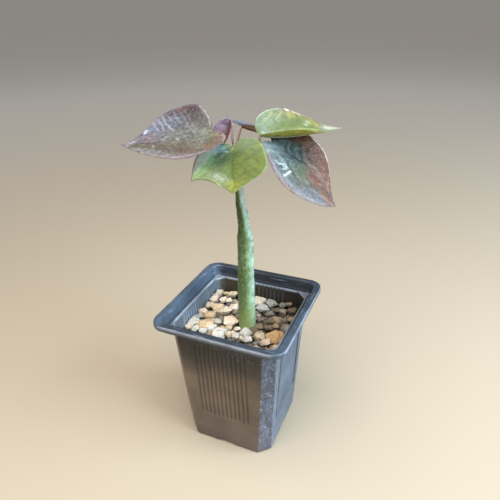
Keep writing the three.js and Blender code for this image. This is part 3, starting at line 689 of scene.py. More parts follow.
# A shown stone is its place, its seen width and height, and its colour. The places were read on
# the photo, and a program turned them into millimetres.
SHOWN_STONES = [
    (-25.5, 22.9, 5, 6, CREAM), (-26.8, 15.3, 5, 4, PINKISH), (-25.6, 8.9, 6, 5, CREAM),
    (-27.4, 2.2, 5, 4, PINKISH), (-27, -4.3, 5, 3.5, BLUE_GREY), (-24.2, -1.7, 3.4, 2.6, OCHRE),
    (-20.1, 1.1, 6, 3.6, OCHRE), (-25.2, -8.2, 6, 3, WHITE), (-19.4, -7, 10, 7, OCHRE),
    (-25.4, -13.2, 5, 3.5, CREAM), (-20.7, -14.4, 4, 3.4, WHITE), (-16, -14.6, 3.4, 2.6, WHITE),
    (-13.4, -10, 5, 4, LIGHT_GREY), (-7.9, -11.9, 6.5, 6.5, WHITE), (-2.9, -10.9, 3.6, 6.2, TAN),
    (1.2, -10.8, 3.6, 6, WHITE), (4.7, -4.9, 6.5, 5, WHITE), (-0.3, -5.6, 3.5, 3.2, CREAM),
    (8, -12.1, 5, 5, WHITE), (12.6, -6.8, 6.5, 7, TAN), (20.4, -3.4, 9, 9, ORANGE),
    (17.4, -11.2, 5, 4, PINKISH), (-6.4, -0.8, 6.6, 6, PINKISH), (-12.5, -3.2, 5, 5, GREY),
    (-14.6, 7.3, 8, 5, CREAM), (-10, 11.5, 5, 5, PINKISH), (-19.3, 9.6, 6.5, 5, OCHRE),
    (-19.1, 16.5, 4, 4, PINKISH), (-16.2, 16.4, 3.5, 3, CREAM), (-20.4, 23, 3.4, 3, OCHRE),
    (-16.8, 23.8, 6, 5, TAN), (-17, 26, 5, 4, TAN), (9.9, 0.3, 4, 3.4, BROWN), (12.6, 6.8, 5, 4, BROWN),
    (14.9, 0.8, 4, 3, BROWN), (8.1, 6, 3.5, 3, BROWN), (16.7, 9.5, 5, 4, OCHRE),
    (18.2, 3.6, 3.5, 2.6, OCHRE), (23.7, 12.2, 4, 4, OCHRE), (22.9, 4.4, 5, 5, GREY),
    (0.4, 26, 7.5, 4, CREAM), (7.9, 25.5, 6.5, 5, GREY), (5.4, 17.6, 7, 6, WHITE), (12.6, 18, 5, 4, BROWN),
    (15.2, 23.8, 4, 4, GREY), (17.9, 25.5, 3.4, 3, OCHRE), (21, 20.2, 5, 3.6, BROWN)]
FILL_COLOURS = [CREAM, PINKISH, PINKISH, GREY, OCHRE, TAN, TAN, BROWN, GREY, CREAM]
# A layer of fill is the pitch of its grid, its height, the least and greatest reach of its chips
# and the number of corners of each
FILL_LAYERS = ((4.0, 64.9, 1.6, 2.9, 10), (4.6, 62.9, 1.8, 3.0, 8))
# A chip of the upper layer is left out where these shares of two chips' reaches would overlap
UPPER_LAYER, FILL_HALF, LAID_SHARE, OWN_SHARE = 64, 24.5, 0.75, 0.62
STEM_FOOT, STEM_ROOM = np.array([3.0, 0.4]), 4.5
ROOM_HALF, ROOM_CORNER = 26.9, 48.6
STONE_TOP, SEEN_DEPTH, SEEN_HEIGHT, COVERED_BY_NEIGHBOURS = 67.6, 0.46, 0.89, 1.24
draw = np.random.default_rng(7)
chips, tints, placed = [], [], []


def clear_place(spot, reach):
    """Moves a chip's middle off the stem and away from the walls by its own reach."""
    spot = np.clip(spot, reach - ROOM_HALF, ROOM_HALF - reach)
    away = spot - STEM_FOOT
    gap = np.linalg.norm(away)
    least = STEM_ROOM + 0.85 * reach
    return STEM_FOOT + away * least / gap if gap < least else spot


def bed_light(spot):
    """Painted light and shade on the bed at a place: brightest in front of the stem, dim at the right."""
    x, y = spot
    near = np.exp(-((x + 4) ** 2 + (y + 3) ** 2) / 64)
    back = np.exp(-((x + 14) ** 2 + (y - 14) ** 2) / 150)
    dim_left, dim_right = 0.16 * smoothstep(-18, -25, x), 0.44 * smoothstep(5, 13, x) * smoothstep(-9, 2, y)
    return 1.06 + 0.42 * near + 0.3 * back - dim_left - dim_right


def dusted(points, colour):
    """The stone's colour at each of its points, with painted shade low down among its neighbours."""
    height = points[:, 2] - points[:, 2].max()
    share = smoothstep(-0.75, -0.2, height / np.ptp(points[:, 2]))
    return colour * (0.3 + 0.7 * share)[:, None]


def lay(stone, colour, spot, reach):
    """Adds a stone to the bed with its colour, and keeps its place for the stones that follow."""
    chips.append(stone)
    tints.append(dusted(stone[0], colour))
    placed.append([*spot, reach])


for x, y, wide, tall, colour in SHOWN_STONES:
    half_wide = wide / 2
    half_deep = half_wide * draw.uniform(0.8, 1.0)
    half_high = max((tall - 2 * half_deep * SEEN_DEPTH) / SEEN_HEIGHT / 2, 0.5 * half_wide)
    spot = clear_place(np.array([x, y]), 0.85 * half_wide)
    height = STONE_TOP - half_high + draw.uniform(-0.5, 0.3)
    size = np.array([half_wide, half_deep, half_high]) * COVERED_BY_NEIGHBOURS
    heading = AZIMUTH + np.radians(draw.uniform(-12, 12))
    # The chip's colour carries the bed's painted light at its place.
    lay(chip(draw, size, [*spot, height], heading), linear(*colour) * bed_light(spot), spot, half_wide)

for pitch, height, small, large, corners in FILL_LAYERS:
    marks = np.arange(-FILL_HALF, FILL_HALF + 0.5, pitch)
    for mark in np.stack(np.meshgrid(marks, marks), -1).reshape(-1, 2):
        reach = draw.uniform(small, large)
        spot = clear_place(mark + draw.uniform(-1.3, 1.3, 2), 0.9 * reach)
        gaps = [np.hypot(*(spot - there)) - LAID_SHARE * laid for *there, laid in placed]
        if height > UPPER_LAYER and min(gaps) < OWN_SHARE * reach:
            continue
        size = reach * draw.uniform([1.05, 0.85, 0.7], [1.3, 1.1, 0.95])
        lift = height + draw.uniform(-0.8, 0.6)
        heading = draw.uniform(0, 2 * np.pi)
        stone = chip(draw, size, [*spot, lift], heading, corners)
        # Painted light: the chip takes the bed's painted light and a random tone, and the lower layer is
        # painted at half as the shade between the upper chips.
        shade = draw.uniform(0.6, 0.9) * bed_light(spot) * (1 if height > UPPER_LAYER else 0.5)
        colour = FILL_COLOURS[draw.integers(len(FILL_COLOURS))]
        lay(stone, linear(*colour) * shade, spot, reach)
print("chips", len(chips), "highest", max(points[:, 2].max() for points, _ in chips).round(2))

# %% Gravel piece
# The bed under the chips is painted dark brown as the shade that shows in the gaps between them.
BED_HALF, BED_CUT, BED_HEIGHTS, BED_COLOUR = 25.9, 5.4, (60.4, 62.4), (60, 48, 38)
FLAKE_SCALE = 480.0
bed_edge = np.array([[BED_HALF, BED_CUT - BED_HALF], [BED_HALF, BED_HALF - BED_CUT]])
bed = prism(np.vstack([bed_edge @ turn for turn in QUARTER_TURNS]), BED_HEIGHTS)
gravel_points, gravel_faces = join([bed, *chips])
plan = gravel_points[:, :2]
plan -= np.sign(plan) * np.maximum(np.abs(plan).sum(1, keepdims=True) - ROOM_CORNER, 0) / 2
plan[:] = np.clip(plan, -ROOM_HALF, ROOM_HALF)
tint = np.vstack([np.tile(linear(*BED_COLOUR), (len(bed[0]), 1)), *tints])
gravel = new_piece("stone_chips", gravel_points, gravel_faces, sharp=24, tint=tint)

# %% [markdown]
# Broken stone is matt, cloudy inside and finely chipped. One shader does for all the chips, since
# each carries its own tint, and the clouds, specks and flakes run on from stone to stone unseen.

# %% Stone finish
gravel_material, tree, shader = new_material("stone chips")
cloud = noise(tree, 3.2, 5, 0.65)
speck = noise(tree, 0.6, 4, 0.7)
flakes = add(tree, "TexVoronoi", {"feature": "F1"}, Vector=object_place(tree), Scale=FLAKE_SCALE)
stone_colour = mix(
    tree, span(tree, cloud, 0.35, 0.65, 0.0, 0.5), attribute(tree, "tint", "Color"), screen(222, 210, 190),
    "MULTIPLY")
stone_colour = coats(tree, stone_colour, [
    (span(tree, speck, 0.6, 0.75, 0.0, 0.45), (228, 222, 208)),
    (span(tree, speck, 0.4, 0.28, 0.0, 0.5), (118, 100, 80))])
fill(
    tree, shader, Base_Color=stone_colour, Roughness=span(tree, cloud, 0.3, 0.7, 0.6, 0.85),
    Normal=bump(tree, speck, 0.25, bump(tree, cloud, 0.8, bump(tree, flakes.outputs["Distance"], 0.7))))
gravel.data.materials.append(gravel_material)
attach(gravel, "root")
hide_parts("gravel")

# %% [markdown]
# ## The stem
# The stem is a fleshy green column that swells a little at old leaf scars. A curve with a bevel
# would give a plain tube. Rings of points let the radius follow the measured stations, add the
# scars where they are, and carry a pale ring low down and shallow wrinkles.

# %% Stem surface
STEM_STATIONS = np.array([
    (3.0, 0.6, 30, 1.2), (3.0, 0.6, 38, 2.8), (3.0, 0.5, 48, 4.2), (3.0, 0.4, 58, 4.6), (3.0, 0.4, 66, 4.5),
    (2.9, 0.3, 81, 4.3), (3.0, 0.3, 100, 4.1), (3.0, 0.3, 116.5, 3.9), (2.8, 0.3, 120, 3.3),
    (2.6, 0.2, 123, 2.9), (2.1, 0.0, 129, 2.7), (1.5, -0.3, 135, 2.4), (0.9, -0.5, 141, 2.0),
    (0.1, -0.8, 150, 1.8), (-0.7, -1.0, 159, 1.5), (-0.9, -0.8, 162.6, 0.8)])
SCARS = [(5, 118, 0.5), (170, 118, 0.45), (265, 119, 0.4), (20, 111, 0.25), (15, 129.5, 0.5), (230, 135, 0.3)]
SCAR_WIDTH, SCAR_HEIGHT = 35, 1.6
STEM_LEVELS, STEM_SIDES = 300, 48


def stem_at(z):
    """The stem's middle and radius at a height: measured stations with straight runs between."""
    return [np.interp(z, STEM_STATIONS[:, 2], STEM_STATIONS[:, k]) for k in (0, 1, 3)]


def scar_rise(angle, z):
    """Bumps left by fallen leaves: a broad round swelling at each listed angle and height."""
    rise = 0
    for scar_angle, scar_height, height in SCARS:
        turn = (angle - scar_angle + 180) % 360 - 180
        rise = rise + height * np.exp(-(turn / SCAR_WIDTH) ** 2 - ((z - scar_height) / SCAR_HEIGHT) ** 2)
    return rise


stem_z, stem_angle = np.meshgrid(
    np.linspace(*STEM_STATIONS[[0, -1], 2], STEM_LEVELS), np.arange(STEM_SIDES) * 360 / STEM_SIDES,
    indexing="ij")
middle_x, middle_y, radius = stem_at(stem_z)
way = np.stack([np.cos(np.radians(stem_angle)), np.sin(np.radians(stem_angle)), 0 * stem_z], -1)
axis_points = np.stack([middle_x, middle_y, stem_z], -1)
plain = axis_points + way * radius[..., None]
relief = 0.05 * ripple(plain * [1, 1, 0.25], 2.2, 3) + 0.04 * ripple(plain, 5, 4)
scars = scar_rise(stem_angle, stem_z)
reach = radius + scars + relief * smoothstep(70, 85, stem_z) * (radius > 1.4)
stem_loops = axis_points + way * reach[..., None]
stem_points, stem_faces = loft(stem_loops, stem_loops[[0, -1]].mean(1) + [[0, 0, -0.4], [0, 0, 0.4]])

# Painted light: the side away from the cool light is painted dark as its shade, and the side
# towards it is painted pale as a highlight
side = way @ np.array([np.cos(AZIMUTH), np.sin(AZIMUTH), 0])
high_up, lean = smoothstep(112, 130, stem_z), smoothstep(128, 140, stem_z)
aged = smoothstep(-0.98, -0.8, side) * fades(-0.15, 0.15, side + 0.2 * lean) * smoothstep(70, 84, stem_z)
aged = aged * (0.55 + 0.45 * high_up)
waxy = smoothstep(0.12, 0.8 - 0.15 * lean, side + 0.3 * lean) * (0.58 + 0.27 * high_up + 0.4 * lean)
waxy = waxy * (0.6 + 0.4 * smoothstep(66, 82, stem_z))
scar, aged, waxy = (np.append(field, [0, 0]) for field in (np.clip(2 * scars, 0, 1), aged, waxy))
stem = new_piece("stem_skin", stem_points, stem_faces, scar=scar, aged=aged, waxy=waxy)

# %% [markdown]
# The skin is mottled green with a pale ring low down. It is painted dark as shade on the side away
# from the light, and painted pale as a highlight on the side towards it. The layers could be painted
# by hand, but values that follow the height and the side keep them in step with the stem's form.

# %% Stem skin
stem_material, tree, shader = new_material("stem skin")
height = add(tree, "SeparateXYZ", Vector=object_place(tree)).outputs["Z"]
mottle = noise(tree, 2.4, 5, 0.65, (1, 1, 0.6))
bloom = noise(tree, 1.1, 5, 0.7)
pores = noise(tree, 0.5, 3, 0.6)
# The painted highlight on the side towards the cool light
painted_highlight = attribute(tree, "waxy")
scar = attribute(tree, "scar")
ring = combine(tree, span(tree, height, 0.0824, 0.083, 0.0, 0.5), span(tree, height, 0.0842, 0.0836))
skin = mix(tree, span(tree, mottle, 0.38, 0.62), screen(78, 96, 50), screen(112, 134, 98))
skin = coats(tree, skin, [
    (span(tree, height, 0.125, 0.15), (134, 154, 118)),
    (span(tree, height, 0.094, 0.068, 0.0, 0.75), (134, 148, 84)),
    # Painted shade on the side away from the light, then the painted highlight on the side towards it, which
    # also pales the scars there. The pale ring low down is partly a mark of its own and partly painted
    # highlight, as it shows only on the lit side.
    (combine(tree, attribute(tree, "aged"), 0.88), (48, 66, 22)),
    (combine(tree, painted_highlight, span(tree, mottle, 0.4, 0.6, 0.4, 0.8)), (170, 188, 180)),
    (span(tree, bloom, 0.53, 0.7, 0.0, 0.48), (152, 172, 154)),
    (span(tree, pores, 0.38, 0.3, 0.0, 0.5), (66, 80, 44)),
    (span(tree, scar, 0.08, 0.25, 0.0, 0.4), (54, 72, 32)),
    (combine(tree, painted_highlight, span(tree, scar, 0.3, 0.9, 0.0, 0.34)), (196, 210, 190)),
    (combine(tree, painted_highlight, ring), (172, 188, 170))])
fill(
    tree, shader, Base_Color=skin, Roughness=0.55, Subsurface_Weight=0.08, Subsurface_Scale=0.0015,
    Specular_IOR_Level=0.22, Normal=bump(tree, bloom, 0.08, bump(tree, mottle, 0.2)))
stem.data.materials.append(stem_material)
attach(stem, "root")
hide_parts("stem")

# %% [markdown]
# ## The leaves
# Each leaf is a thin heart that is folded along its midrib, cupped, curled and twisted. It could
# be bent with a chain of modifiers, but a formula from flat leaf to bent leaf places each point
# exactly where the leaf is meant to be.

# %% Leaf measures
# A blade starts at `base` and is turned by a heading, a pitch and a roll. Angles are in degrees and
# lengths in millimetres. `widest`, `lobe`, `belly`, `tip` and `sweep` are shares of length or width.
# Nearly all the values were fitted by a program to outline points picked on the photo, and rounded.
TYPICAL_LENGTH, OUTLINE_STEPS = 40, 2001
LEAVES = {
    "leaf_left": dict(
        base=(-8, -6.9, 169.9), turns=(211.5, -12.5, 20.5), length=39.8, widest=0.23, cup=9.5, bend=-7.5,
        twist=-3.5, sweep=0.11, crumple=0.7,
        right=dict(width=19.5, lobe=0.03, belly=0.33, tip=(0.06, 0.27), fold=8.5, wave=(-1.9, -2)),
        left=dict(width=20, lobe=0.13, belly=0.27, tip=(0.23, 0.07), fold=4.5, wave=(-1.5, 0)),
        stalk_from=153, via=[(-3.5, -3.4, 160)], stalk_radius=0.8),
    "leaf_front": dict(
        base=(4.4, -13.1, 165.3), turns=(292.5, -16.5, -9), length=34.6, widest=0.29, cup=-14, bend=-6,
        twist=-6, sweep=-0.04,
        right=dict(width=19.3, lobe=0.16, belly=0.17, tip=(0.2, 0.22), fold=4.5, wave=(-2, -2)),
        left=dict(width=14.1, lobe=0.18, belly=0.3, tip=(0.21, 0.11), fold=8, wave=(-1.6, -0.2)),
        stalk_from=149, via=[(1.9, -6.5, 157)], stalk_radius=0.8),
    "leaf_right_upper": dict(
        base=(10.14, 3.29, 166.78), turns=(39.8, -7.1, -6.7), length=41.5, widest=0.27, cup=2.1, bend=-10.4,
        twist=4.7, sweep=-0.1,
        right=dict(width=15.7, lobe=0.05, belly=0.25, tip=(0.14, 0.22), fold=23.7, wave=(1, 0.44)),
        left=dict(width=15.4, lobe=0.05, belly=0.25, tip=(0.14, 0.26), fold=28.8, wave=(0.67, 0.1)),
        stalk_from=155, via=[(6, 1.6, 158.6), (9.9, 2.9, 163.3)], stalk_radius=0.75),
    "leaf_right_lower": dict(
        base=(13.97, 7.35, 163.5), turns=(6.7, -24.3, -8.9), length=40.8, widest=0.42, cup=-5.8, bend=31.1,
        twist=12.5, sweep=0.11,
        right=dict(width=22.8, lobe=0.08, belly=0.35, tip=(0.23, 0.09), fold=15.6, wave=(-2.5, -1.5)),
        left=dict(width=14.4, lobe=0.06, belly=0.36, tip=(0.06, 0.3), fold=15.3, wave=(1.8, 1.4)),
        stalk_from=146, via=[(7, 3, 156)], stalk_radius=0.8),
    "young_leaf_left": dict(
        base=(-5.2, 5.2, 172.4), turns=(111.5, -74.5, 66.5), length=13.9, widest=0.3, cup=-3, bend=-34,
        twist=-4, sweep=0,
        right=dict(width=6.8, lobe=0.04, belly=0.28, tip=(0.21, 0.12), fold=45, wave=(-0.2, -0.5)),
        left=dict(width=9, lobe=0.14, belly=0.26, tip=(0.15, 0.2), fold=34, wave=(0.2, 0.3)),
        stalk_from=160.5, via=[(-2.5, 1.3, 164.4), (-3.5, 3.9, 168.9)], stalk_radius=0.45),
    "young_leaf_right": dict(
        base=(-2.1, 11.8, 168.1), turns=(56.3, -22.9, 1.9), length=25.4, widest=0.21, cup=-2.4, bend=-5.6,
        twist=7.1, sweep=0.01,
        right=dict(width=9.2, lobe=0.08, belly=0.25, tip=(0.15, 0.2), fold=14.8, wave=(0.1, 0.2)),
        left=dict(width=10.7, lobe=0.16, belly=0.25, tip=(0.15, 0.2), fold=12.5, wave=(0.7, 0.4)),
        stalk_from=161, via=[(-0.3, 1.7, 163.8), (-1.2, 6.5, 166.4)], stalk_radius=0.45),
}


print("leaves", {name: leaf["length"] for name, leaf in LEAVES.items()})

# %% [markdown]
# The measures become a surface in two steps. The flat outline is two curves to each side, from
# the notch round the lobe to the tip, and then each point goes where folding, waving, curling and
# twisting take it.

# %% Leaf form
def even_steps(path, count):
    """Points at even distances along a path."""
    gone = np.append(0, np.cumsum(np.linalg.norm(np.diff(path, axis=0), axis=1)))
    even = np.linspace(0, gone[-1], count)
    return np.stack([np.interp(even, gone, channel) for channel in path.T], 1)


def outline(leaf, half):
    """One half of the flat outline at even steps along it: two cubic curves that meet at the
    widest place, as distances from the midrib and from the base."""
    lobe, widest, tip = half["lobe"], leaf["widest"], half["tip"]
    knots = np.array([
        (0, 0), (0.2, -1.5 * lobe), (1, -1.2 * lobe), (1, widest), (1, widest + half["belly"]),
        (tip[0], 1 - tip[1]), (0, 1)])
    share = np.linspace(0, 1, 400)[:, None]
    weights = np.hstack([
        (1 - share) ** 3, 3 * share * (1 - share) ** 2, 3 * share ** 2 * (1 - share), share ** 3])
    path = np.vstack([weights @ knots[:4], (weights @ knots[3:])[1:]]) * [half["width"], leaf["length"]]
    return even_steps(path, OUTLINE_STEPS).T


def by_half(leaf, s, key, item=None):
    """A measure of the right half where s is positive, and of the left half elsewhere."""
    right, left = (leaf[side][key] if item is None else leaf[side][key][item] for side in ("right", "left"))
    return np.where(s >= 0, right, left)


def flat_blade(leaf, t, s):
    """Where (t, s) lies on the flat leaf: t runs from base to tip, s from the left edge over the
    midrib to the right edge. Gives the distance from the midrib and the distance along it."""
    steps = np.linspace(0, 1, OUTLINE_STEPS)
    right, left = (outline(leaf, leaf[side]) for side in ("right", "left"))
    rim_out, rim_along = (
        np.where(s >= 0, np.interp(t, steps, right[k]), np.interp(t, steps, left[k])) for k in (0, 1))
    share = np.abs(s)
    return np.maximum(rim_out, 0) * share, t * leaf["length"] * (1 - share) + rim_along * share


def leaf_frame(leaf):
    """The bent leaf's axes as rows: right, towards the tip, and up."""
    heading, pitch, roll = np.radians(leaf["turns"])
    forward = np.array([np.cos(pitch) * np.cos(heading), np.cos(pitch) * np.sin(heading), np.sin(pitch)])
    right = unit(np.cross(forward, [0, 0, 1]))
    up = np.cross(right, forward)
    return np.stack([
        right * np.cos(roll) + up * np.sin(roll), forward, up * np.cos(roll) - right * np.sin(roll)])


def bent_blade(leaf, s, out, along):
    """Bends the flat leaf: each half is folded up and cupped, its edge waves, the whole is swept
    to one side, curled along a circle and twisted about the midrib."""
    length = leaf["length"]
    u = np.clip(along / length, 0, 1)
    edge = out / by_half(leaf, s, "width")
    lift = np.radians(by_half(leaf, s, "fold") + leaf["cup"] * edge)
    waves = (by_half(leaf, s, "wave", k) * np.sin((k + 1) * np.pi * u) for k in (0, 1))
    wave = edge ** 2 * sum(waves)
    up = out * np.sin(lift) + wave * np.cos(lift)
    sign = np.where(s >= 0, 1, -1)
    x = sign * (out * np.cos(lift) - wave * np.sin(lift)) + leaf["sweep"] * length * u ** 2
    curl = np.radians(leaf["bend"]) / length
    theta = curl * along
    y = np.sin(theta) / curl + up * np.sin(theta)
    z = -(1 - np.cos(theta)) / curl + up * np.cos(theta)
    twist = np.radians(leaf["twist"]) * np.clip(along / length, -0.4, 1)
    bent = np.stack([
        x * np.cos(twist) + up * np.sin(twist), y, z - x * np.sin(twist) + up * (np.cos(twist) - 1)], -1)
    return bent @ leaf_frame(leaf) + leaf["base"]


def blade(leaf, t, s):
    """The middle surface of the leaf at (t, s)."""
    return bent_blade(leaf, s, *flat_blade(leaf, t, s))


for name, leaf in LEAVES.items():
    print(name, "ends at", blade(leaf, np.array(1.0), np.array(0.0)).round(1))

# %% [markdown]
# Veins fan out from the base and then leave the midrib in pairs. Drawing them on a texture would
# need an image, so here every point measures its own distance to the nearest vein. Near a vein
# the blade sinks, and between veins it puffs up a little, as a quilt does.

# %% Leaf veins
# A base vein is the angle at which it starts, how it bends inwards and its strength
BASE_VEINS = ((36, 0.55, 0.8), (74, 0.9, 0.75), (112, 0.9, 0.6), (146, 0.6, 0.4))
SIDE_VEINS = (0.2, 0.34, 0.47, 0.59, 0.7, 0.8)
SIDE_SLOPE, SIDE_CURVE, SIDE_WIDTH, SIDE_STRENGTH = 0.72, 0.014, 1.25, 0.55
LEFT_LEAN, VEIN_WIDTH, PUFF_WIDTH = 1.06, 0.42, 1.5


def vein_map(leaf, s, out, along):
    """How strongly each point belongs to a vein, and how high the blade puffs up there."""
    length = leaf["length"]
    scale = length / TYPICAL_LENGTH
    lean = np.where(s >= 0, 1.0, LEFT_LEAN)
    reach = np.hypot(out, along)
    turn = np.degrees(np.arctan2(out, along))
    gaps, strengths = [out / scale], [1.0]
    for start, bend, strength in BASE_VEINS:
        way = start * lean - bend * reach / scale
        gaps.append(np.abs(np.radians(turn - way)) * reach / scale)
        strengths.append(strength)
    for share in SIDE_VEINS:
        line = length * share * lean + SIDE_SLOPE * out + SIDE_CURVE * out ** 2 / scale
        gaps.append(np.abs(along - line) / SIDE_WIDTH / scale)
        strengths.append(SIDE_STRENGTH)
    gaps = np.stack(gaps)
    strengths = np.array(strengths).reshape(-1, *[1] * out.ndim)
    vein = (strengths * np.exp(-(gaps / VEIN_WIDTH) ** 2)).max(0)
    return vein, 1 - np.exp(-(gaps.min(0) / PUFF_WIDTH) ** 2)


print("veins on each half", len(BASE_VEINS) + len(SIDE_VEINS))
